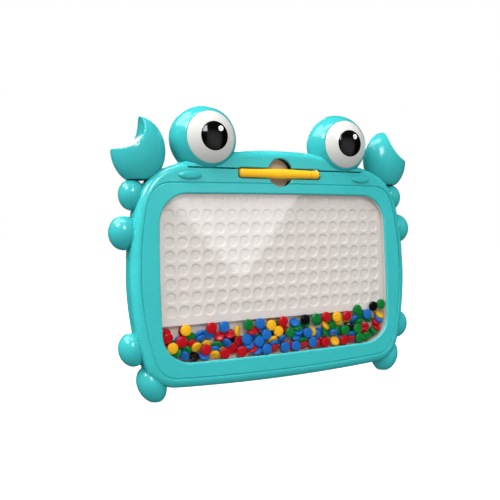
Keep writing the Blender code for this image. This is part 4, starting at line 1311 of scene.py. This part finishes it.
@dataclass
class Discs:
    """The coloured discs: a heap let fall into the tray and eleven that stand on it, each on a body of its own."""

    case: Case
    r: float = 4.8
    t: float = 3.0
    rest_z: float = 57.4
    layer_y: float = -2.2
    front_y: float = -3.85
    back_y: float = 4.1
    end_x: float = 114.0
    ledge_z: float = 61.2
    loose: tuple[tuple[int, DiscColour], ...] = (
        (-8, DiscColour.YELLOW), (-6, DiscColour.RED), (-5, DiscColour.BLUE), (-3, DiscColour.GREEN),
        (-2, DiscColour.BLUE), (0, DiscColour.RED), (2, DiscColour.BLACK), (3, DiscColour.GREEN),
        (5, DiscColour.YELLOW), (6, DiscColour.RED), (8, DiscColour.BLUE))
    shares: tuple[tuple[DiscColour, float], ...] = (
        (DiscColour.RED, 0.27), (DiscColour.BLUE, 0.23), (DiscColour.GREEN, 0.23), (DiscColour.YELLOW, 0.23),
        (DiscColour.BLACK, 0.04))
    count: int = 228
    frames: int = 150
    scale: float = 0.2
    seed: int = 7
    standing: list[Matrix] = field(init=False)
    skin: Array = field(init=False)
    floor: Array = field(init=False)

    def __post_init__(self) -> None:
        """Works out the standing discs' places, points on a disc's skin and the lowest a disc may reach."""
        self.standing = [along_y(column * PITCH, self.layer_y, self.rest_z) for column, _ in self.loose]
        turns = np.linspace(0.0, TURN, 20, endpoint=False)
        rings = [(self.r, 0.0), (self.r - 0.3, self.t / 2 - 0.2), (self.r - 0.3, 0.2 - self.t / 2),
                 (self.r / 2, self.t / 2), (self.r / 2, -self.t / 2)]
        self.skin = np.concatenate([np.stack([r * np.cos(turns), r * np.sin(turns), np.full(20, h), np.ones(20)], 1)
                                    for r, h in rings])
        self.floor = self.lower_edge(-0.7)

    def lower_edge(self, inwards: float) -> Array:
        """Lower half of the opening moved inwards, from left to right."""
        outline = self.case.opening.inwards(inwards)[::8]
        outline = outline[outline[:, 1] < CENTRE_Z]
        return outline[np.argsort(outline[:, 0])]

    def disc(self, place: Matrix, segments: int) -> Shape:
        """One disc, turned about its own axis: flat faces that round over to the edge."""
        half, r = self.t / 2, self.r
        return turned([(r - 1.5, -half), (r - 0.45, -half + 0.32), (r, -half + 0.95), (r, half - 0.95),
                       (r - 0.45, half - 0.32), (r - 1.5, half)], segments, place)

    def wall(self, low: Sequence[float], high: Sequence[float]) -> bpy.types.Object:
        """A still box for the discs to fall against, in simulation units."""
        size = (Vector(high) - Vector(low)) * self.scale
        spots = np.array([((i & 1) - 0.5, ((i >> 1) & 1) - 0.5, ((i >> 2) & 1) - 0.5) for i in range(8)])
        faces = [(0, 2, 3, 1), (4, 5, 7, 6), (0, 1, 5, 4), (2, 6, 7, 3), (0, 4, 6, 2), (1, 3, 7, 5)]
        obj = link("bay_wall", raw_mesh("bay_wall", spots * np.array(size), faces))
        obj.location = (Vector(low) + Vector(high)) / 2 * self.scale
        return obj

    def walls(self) -> list[bpy.types.Object]:
        """Window, back, ends and curved floor of the disc bay."""
        made = [self.wall(low, high) for low, high in (
            ((-130, -30, 0), (130, self.front_y, 420)), ((-130, self.back_y, 0), (130, 40, 420)),
            ((-160, -30, 60), (-self.end_x, 40, 420)), ((self.end_x, -30, 60), (160, 40, 420)))]
        outline = self.case.opening.inwards(0.1)
        outline = outline[outline[:, 1] < 150.0]
        outline = outline[np.argsort(np.arctan2(outline[:, 0], CENTRE_Z - outline[:, 1] + 60.0))]
        marks = outline[np.linspace(0, len(outline) - 1, 70).astype(int)]
        for a, b in zip(marks[:-1], marks[1:]):
            middle, run = (a + b) / 2, b - a
            half, heading = float(np.hypot(*run)) / 2, math.atan2(run[1], run[0])
            plank = self.wall((-half - 0.6, -8, -6), (half + 0.6, 12, 0))
            plank.rotation_euler = (0.0, -heading, 0.0)
            normal = Vector((-math.sin(heading), 0.0, math.cos(heading)))
            plank.location = (Vector((middle[0], 2.0, middle[1])) - normal * 3.0) * self.scale
            made.append(plank)
        return made

    def rained(self, rng: np.random.Generator) -> list[bpy.types.Object]:
        """Slightly smaller discs hung over the bay in rows, with more rows at its two ends."""
        r, half = self.r - 0.22, self.t / 2 - 0.08
        shape = turned([(r - 0.5, -half), (r, -half + 0.5), (r, half - 0.5), (r - 0.5, half)], 24, Matrix.Identity(4))
        mesh = raw_mesh("falling", shape.points[0] * self.scale, shape.quads[0].tolist() + shape.others)
        falling = []
        for number in range(self.count):
            obj = link("falling", mesh)
            column, row = number % 19, number // 19
            x = -100.0 + column * 11.1 + rng.uniform(-1.2, 1.2)
            if row > 11:
                x = rng.choice([rng.uniform(74, 100), rng.uniform(-102, -84)])
            tip = rng.uniform(-0.7, 0.7)
            obj.rotation_euler = (QUARTER + tip, rng.uniform(-0.5, 0.5), rng.uniform(-0.45, 0.45))
            obj.location = Vector((x, rng.uniform(-0.8, 1.1), 50.0 + row * 11.5)) * self.scale
            falling.append(obj)
        return falling

    def fallen(self) -> list[Matrix]:
        """Lets the discs fall and returns where each comes to rest, in millimetres.

        Those in the way of the board, its ledge or a standing disc are taken out, and then more are stacked and
        wedged in.
        """
        rng = np.random.default_rng(self.seed)
        bpy.ops.rigidbody.world_add()
        world = bpy.context.scene.rigidbody_world
        world.substeps_per_frame, world.solver_iterations = 12, 24
        bpy.context.scene.gravity = (1.2, 0.0, -40.0)
        falling = self.rained(rng)
        still = self.walls()
        self.bodies(falling, "ACTIVE", "CONVEX_HULL")
        self.bodies(still, "PASSIVE", "BOX")
        keep = [place for place in self.run(falling) if self.clear(place) and not self.meets(place, self.standing)]
        for obj in (*falling, *still):
            bpy.data.objects.remove(obj)
        bpy.ops.rigidbody.world_remove()
        keep += self.stacked(keep, rng)
        return keep + self.wedged(keep, rng)

    def bodies(self, objects: Sequence[bpy.types.Object], kind: str, shape: str) -> None:
        """Makes the objects rigid bodies of a kind and collision shape."""
        for obj in bpy.context.scene.objects:
            obj.select_set(False)
        for obj in objects:
            obj.select_set(True)
        bpy.context.view_layer.objects.active = objects[0]
        bpy.ops.rigidbody.objects_add(type=kind)
        for obj in objects:
            solid = obj.rigid_body
            solid.collision_shape, solid.use_margin, solid.collision_margin = shape, True, 0.01
            solid.friction, solid.restitution = 0.35, 0.1
            solid.linear_damping, solid.angular_damping = 0.1, 0.2

    def run(self, objects: Sequence[bpy.types.Object]) -> list[Matrix]:
        """Steps the simulation and reads where the objects are, back in millimetres."""
        scene = bpy.context.scene
        cache = scene.rigidbody_world.point_cache
        cache.frame_start, cache.frame_end = 1, self.frames
        for number in range(1, self.frames + 1):
            scene.frame_set(number)
        graph = bpy.context.evaluated_depsgraph_get()
        ends = [obj.evaluated_get(graph).matrix_world for obj in objects]
        places = [Matrix.LocRotScale(end.translation / self.scale, end.to_quaternion(), None) for end in ends]
        scene.frame_set(1)
        return places

    def meets(self, first: Matrix, others: Sequence[Matrix], ease: float = 0.2) -> bool:
        """Whether skin points of a disc lie deeper than a little inside any other disc, or the other way round."""
        for second in others:
            if (first.translation - second.translation).length > 2 * self.r + 0.3:
                continue
            for one, other in ((first, second), (second, first)):
                x, y, z, _ = (self.skin @ np.array(other.inverted() @ one).T).T
                if ((np.hypot(x, y) < self.r - ease) & (np.abs(z) < self.t / 2 - ease)).any():
                    return True
        return False

    def clear(self, place: Matrix) -> bool:
        """Whether a disc lies in the bay, clear of the board and its ledge."""
        x, y, z, _ = (self.skin @ np.array(place).T).T
        if (z < np.interp(x, self.floor[:, 0], self.floor[:, 1])).any() or (np.abs(x) > self.end_x + GAP).any():
            return False
        top = 66.0 if abs(place.translation.x - 10.0) > 78.0 else 58.5
        return bool((y[z > self.ledge_z] < -0.4).all()) and place.translation.z < top

    def stacked(self, keep: list[Matrix], rng: np.random.Generator) -> list[Matrix]:
        """Lowers discs one by one before the board, until each meets those below it."""
        added: list[Matrix] = []
        for x in (101.0, 80.5, 88.0, 97.0, 104.0, 84.0, 92.0, -103.5, -98.0, 46.0, -80.0, -46.0, 11.5, 100.5, -11.5):
            low = None
            spot = x + rng.uniform(-1.0, 1.0)
            for z in np.arange(72.0, 46.0, -0.25):
                place = along_y(spot, self.layer_y, float(z))
                if self.meets(place, (*keep, *self.standing, *added)):
                    break
                low = place
            if low is not None and low.translation.z < (66.5 if x > 76 else 58.5):
                added.append(low)
        return added

    def wedged(self, keep: list[Matrix], rng: np.random.Generator) -> list[Matrix]:
        """Fills what gaps the heap still has by trying discs at random spots and tilts, the rear layer first."""
        added: list[Matrix] = []
        floor = self.lower_edge(4.6)
        for attempt in range(12000):
            x, z = rng.uniform(-107.0, 107.0), rng.uniform(34.0, 56.0)
            if z < np.interp(x, floor[:, 0], floor[:, 1]):
                continue
            rear = attempt < 7000
            tip = rng.uniform(-0.3, 0.3) if rear else rng.uniform(-0.6, 0.6)
            spin = rng.uniform(-0.3, 0.3)
            room = self.t / 2 * math.cos(tip) + self.r * math.sin(abs(tip))
            low, high = self.front_y + room, self.back_y - room
            if low > high:
                continue
            y = high - (high - low) * rng.uniform(0.0, 0.3 if rear else 1.0)
            place = Matrix.Translation((x, y, z)) @ Matrix.Rotation(QUARTER + tip, 4, "X")
            place = place @ Matrix.Rotation(spin * (y > 0), 4, "Y")
            if self.clear(place) and not self.meets(place, (*keep, *self.standing, *added), 0.85 if rear else 0.4):
                added.append(place)
        return added

    def build(self, finishes: Finishes) -> None:
        """Makes the heap, one piece for each colour, and the standing discs."""
        places = self.fallen()
        LOG.info("%d discs in the heap", len(places))
        rng = np.random.default_rng(self.seed + 1)
        picks = rng.choice(len(self.shares), len(places), p=[share for _, share in self.shares])
        replaces = ["disc_heap"]
        for index, (colour, _) in enumerate(self.shares):
            shape = Shape()
            for place, pick in zip(places, picks):
                if pick == index:
                    shape.add(self.disc(place, 15))
            if shape.count:
                piece(f"heap_{colour.value}", shape, finishes.discs[colour], replaces, sharp=62.0)
                replaces = []
        for number, ((_, colour), place) in enumerate(zip(self.loose, self.standing), 1):
            name = f"disc_{number:02d}"
            piece(f"{name}_shown", self.disc(place, 40), finishes.discs[colour], [f"{name}_{colour.value}"], name, 62.0)


# The studio ---------------------------------------------------------------------------------------------


def spot(x: float, y: float, z: float) -> Vector:
    """A place given in millimetres, in metres."""
    return Vector((x, y + PLACE_Y, z)) * MM


@dataclass
class Studio:
    """Pale floor, soft lights, light cards and the camera."""

    eye: tuple[float, float, float] = (-263.97, -482.78, 123.72)
    heading: float = -25.888
    tilt: float = 0.146
    roll: float = -1.758
    lens: float = 44.07
    sky: float = 0.84

    def camera(self) -> None:
        """Makes the camera: turned to its heading, tilted down a little and rolled."""
        data = bpy.data.cameras.new("camera")
        data.lens, data.sensor_width, data.clip_start, data.clip_end = self.lens, 36.0, 0.01, 50.0
        obj = link("camera", data)
        place = Matrix.Translation(spot(*self.eye))
        for degrees, axis in ((self.heading, "Z"), (90.0 - self.tilt, "X"), (self.roll, "Z")):
            place = place @ Matrix.Rotation(math.radians(degrees), 4, axis)
        obj.matrix_world = place
        bpy.context.scene.camera = obj

    def world(self) -> None:
        """A pale sky, darker from below, that shows white behind the toy and stays out of mirrors."""
        world = bpy.data.worlds.new("studio")
        bpy.context.scene.world = world
        world.use_nodes = True
        graph = Graph(world.node_tree)
        direction = graph.node("ShaderNodeTexCoord").outputs["Generated"]
        height = graph.wire(graph.node("ShaderNodeSeparateXYZ", {0: direction}), 2)
        strength = height.step(-0.7, 0.9) * (self.sky * 0.82) + self.sky * 0.68
        seen = graph.wire(graph.node("ShaderNodeLightPath"), "Is Camera Ray")
        strength = strength * (1 - seen) + seen
        light = graph.node("ShaderNodeBackground", {"Color": WHITE, "Strength": strength})
        graph.finish(light, "ShaderNodeOutputWorld")
        world.cycles_visibility.glossy = False

    def softbox(self, name: str, place: Sequence[float], aim_z: float, size: Sequence[float], power: float) -> None:
        """An area light that looks at the toy.

        Args:
            name: Its name.
            place: Where it hangs, in millimetres.
            aim_z: Height that it looks at in the middle of the toy, in millimetres.
            size: Its sides, in metres.
            power: Watts.
        """
        data = bpy.data.lights.new(name, "AREA")
        data.shape, data.size, data.size_y, data.energy = "RECTANGLE", size[0], size[1], power
        obj = link(name, data)
        obj.location = spot(*place)
        obj.rotation_mode = "QUATERNION"
        obj.rotation_quaternion = (spot(0.0, 0.0, aim_z) - obj.location).to_track_quat("-Z", "Y")

    def floor(self) -> None:
        """A wide, pale, flat floor that stays out of the toy's own shading, like paper under soft light."""
        along = np.linspace(-1.0, 1.0, 33) ** 3 * 9000.0
        x, y = np.meshgrid(along, along, indexing="ij")
        shape = Shape().grid(np.stack([x, y, np.full_like(x, -0.05)], -1), wrap_columns=False)
        mesh = shape.mesh("floor", closed=False)
        mesh.materials.append(Paper("floor_paper").material())
        mesh.shade_smooth()
        obj = link("floor", mesh)
        obj.visible_glossy = obj.visible_diffuse = False

    def card(self, name: str, points: Array, fade: Array, strength: float, receivers: Sequence[str]) -> None:
        """A lit card that shows only as a mirror image in the named pieces.

        Args:
            name: Its name.
            points: Grid of points, in millimetres.
            fade: Share of the full light at each point.
            strength: Emission strength.
            receivers: Names of the pieces that mirror it.
        """
        mesh = Shape().grid(points, wrap_columns=False).mesh(name, closed=False)
        mesh.attributes.new("fade", "FLOAT", "POINT").data.foreach_set("value", fade.ravel().astype(np.float32))
        mesh.materials.append(LightCard(f"{name}_light", strength).material())
        obj = link(name, mesh)
        obj.visible_camera = obj.visible_diffuse = obj.visible_shadow = obj.visible_transmission = False
        group = bpy.data.collections.new(f"{name}_receivers")
        for receiver in receivers:
            group.objects.link(bpy.data.objects[receiver])
        obj.light_linking.receiver_collection = group

    def wedge_card(self) -> None:
        """A lit wedge in front of the toy whose mirror image lies on the window, point down.

        Rows run between the wedge's two slanting edges on the window's plane; each point is then carried along the
        ray from the camera's mirror image to a plane in front of the toy. The light falls off softly to the edges.
        """
        image_eye = np.array([self.eye[0], 2 * WINDOW_Y - self.eye[1], self.eye[2]])
        down = np.linspace(0.0, 1.0, 40)[:, None]
        across = np.linspace(0.0, 1.0, 41)[None, :]
        left_x, right_x = -137.0 + 93.0 * down, 47.0 - 86.0 * down
        top, foot, card_y = 197.0, 95.0, -460.0
        width = right_x - left_x
        x = left_x + width * across
        z = top + (foot - top) * down + 6.0 * across * (1 - down)
        on_window = np.stack([x, np.full_like(x, WINDOW_Y), z], -1)
        spots = image_eye + (on_window - image_eye) * (card_y - image_eye[1]) / (WINDOW_Y - image_eye[1])
        edge = np.clip(np.minimum(across * width / 9.0, (1 - across) * width / 4.0), 0, 1) ** 1.5
        fade = edge * (0.92 + 0.08 * np.cos(across * TURN)) * np.clip((1 - down) / 0.08, 0, 1)
        self.card("wedge_card", spots, fade, 0.95, ("window", "case_front", "crown"))

    def pupil_card(self) -> None:
        """A soft round-cornered card on a sphere about the toy, seen in the pupils."""
        bearing, height, wide, tall, reach = 20.0, -3.0, 62.0, 64.0, 1500.0
        across, up = np.meshgrid(np.linspace(-1, 1, 21), np.linspace(-1, 1, 21), indexing="xy")
        u, v = np.radians(across * wide / 2 + bearing), np.radians(up * tall / 2 + height)
        points = np.stack([np.sin(u) * np.cos(v), -np.cos(u) * np.cos(v), np.sin(v)], -1) * reach
        fade = (1 - np.abs(across) ** 4) * (1 - np.abs(up) ** 4) * (0.75 + 0.25 * np.cos(2.0 * up + across))
        self.card("pupil_card", points + np.array([0.0, 0.0, 120.0]), fade, 0.6, ("iris_left", "iris_right"))

    def build(self) -> None:
        """Sets up the studio."""
        bpy.context.scene.view_settings.view_transform = "Standard"
        self.camera()
        self.world()
        self.floor()
        for light in (("top_box", (-250.0, -200.0, 1300.0), 120.0, (0.6, 0.4), 5.0),
                      ("left_box", (-800.0, 350.0, 1250.0), 150.0, (1.0, 0.8), 11.0),
                      ("graze_box", (-950.0, -260.0, 950.0), 100.0, (0.35, 0.35), 7.0),
                      ("front_box", (-300.0, -1200.0, 900.0), 120.0, (0.4, 0.5), 9.0),
                      ("rear_box", (300.0, 1400.0, 900.0), 120.0, (0.8, 0.6), 8.0)):
            self.softbox(*light)
        self.wedge_card()
        self.pupil_card()


def main() -> None:
    """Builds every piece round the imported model."""
    logging.basicConfig(level=logging.INFO, format="%(name)s %(message)s")
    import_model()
    finishes = Finishes()
    case = Case()
    case.build(finishes)
    Inside(case).build(finishes)
    for side, word in SIDES:
        Eye(side, word).build(finishes)
    Limbs().build(finishes, case.envelope(0.15))
    Pen().build(finishes)
    Screws(case.screws).build(finishes)
    Discs(case).build(finishes)
    Studio().build()


if __name__ == "__main__":
    main()
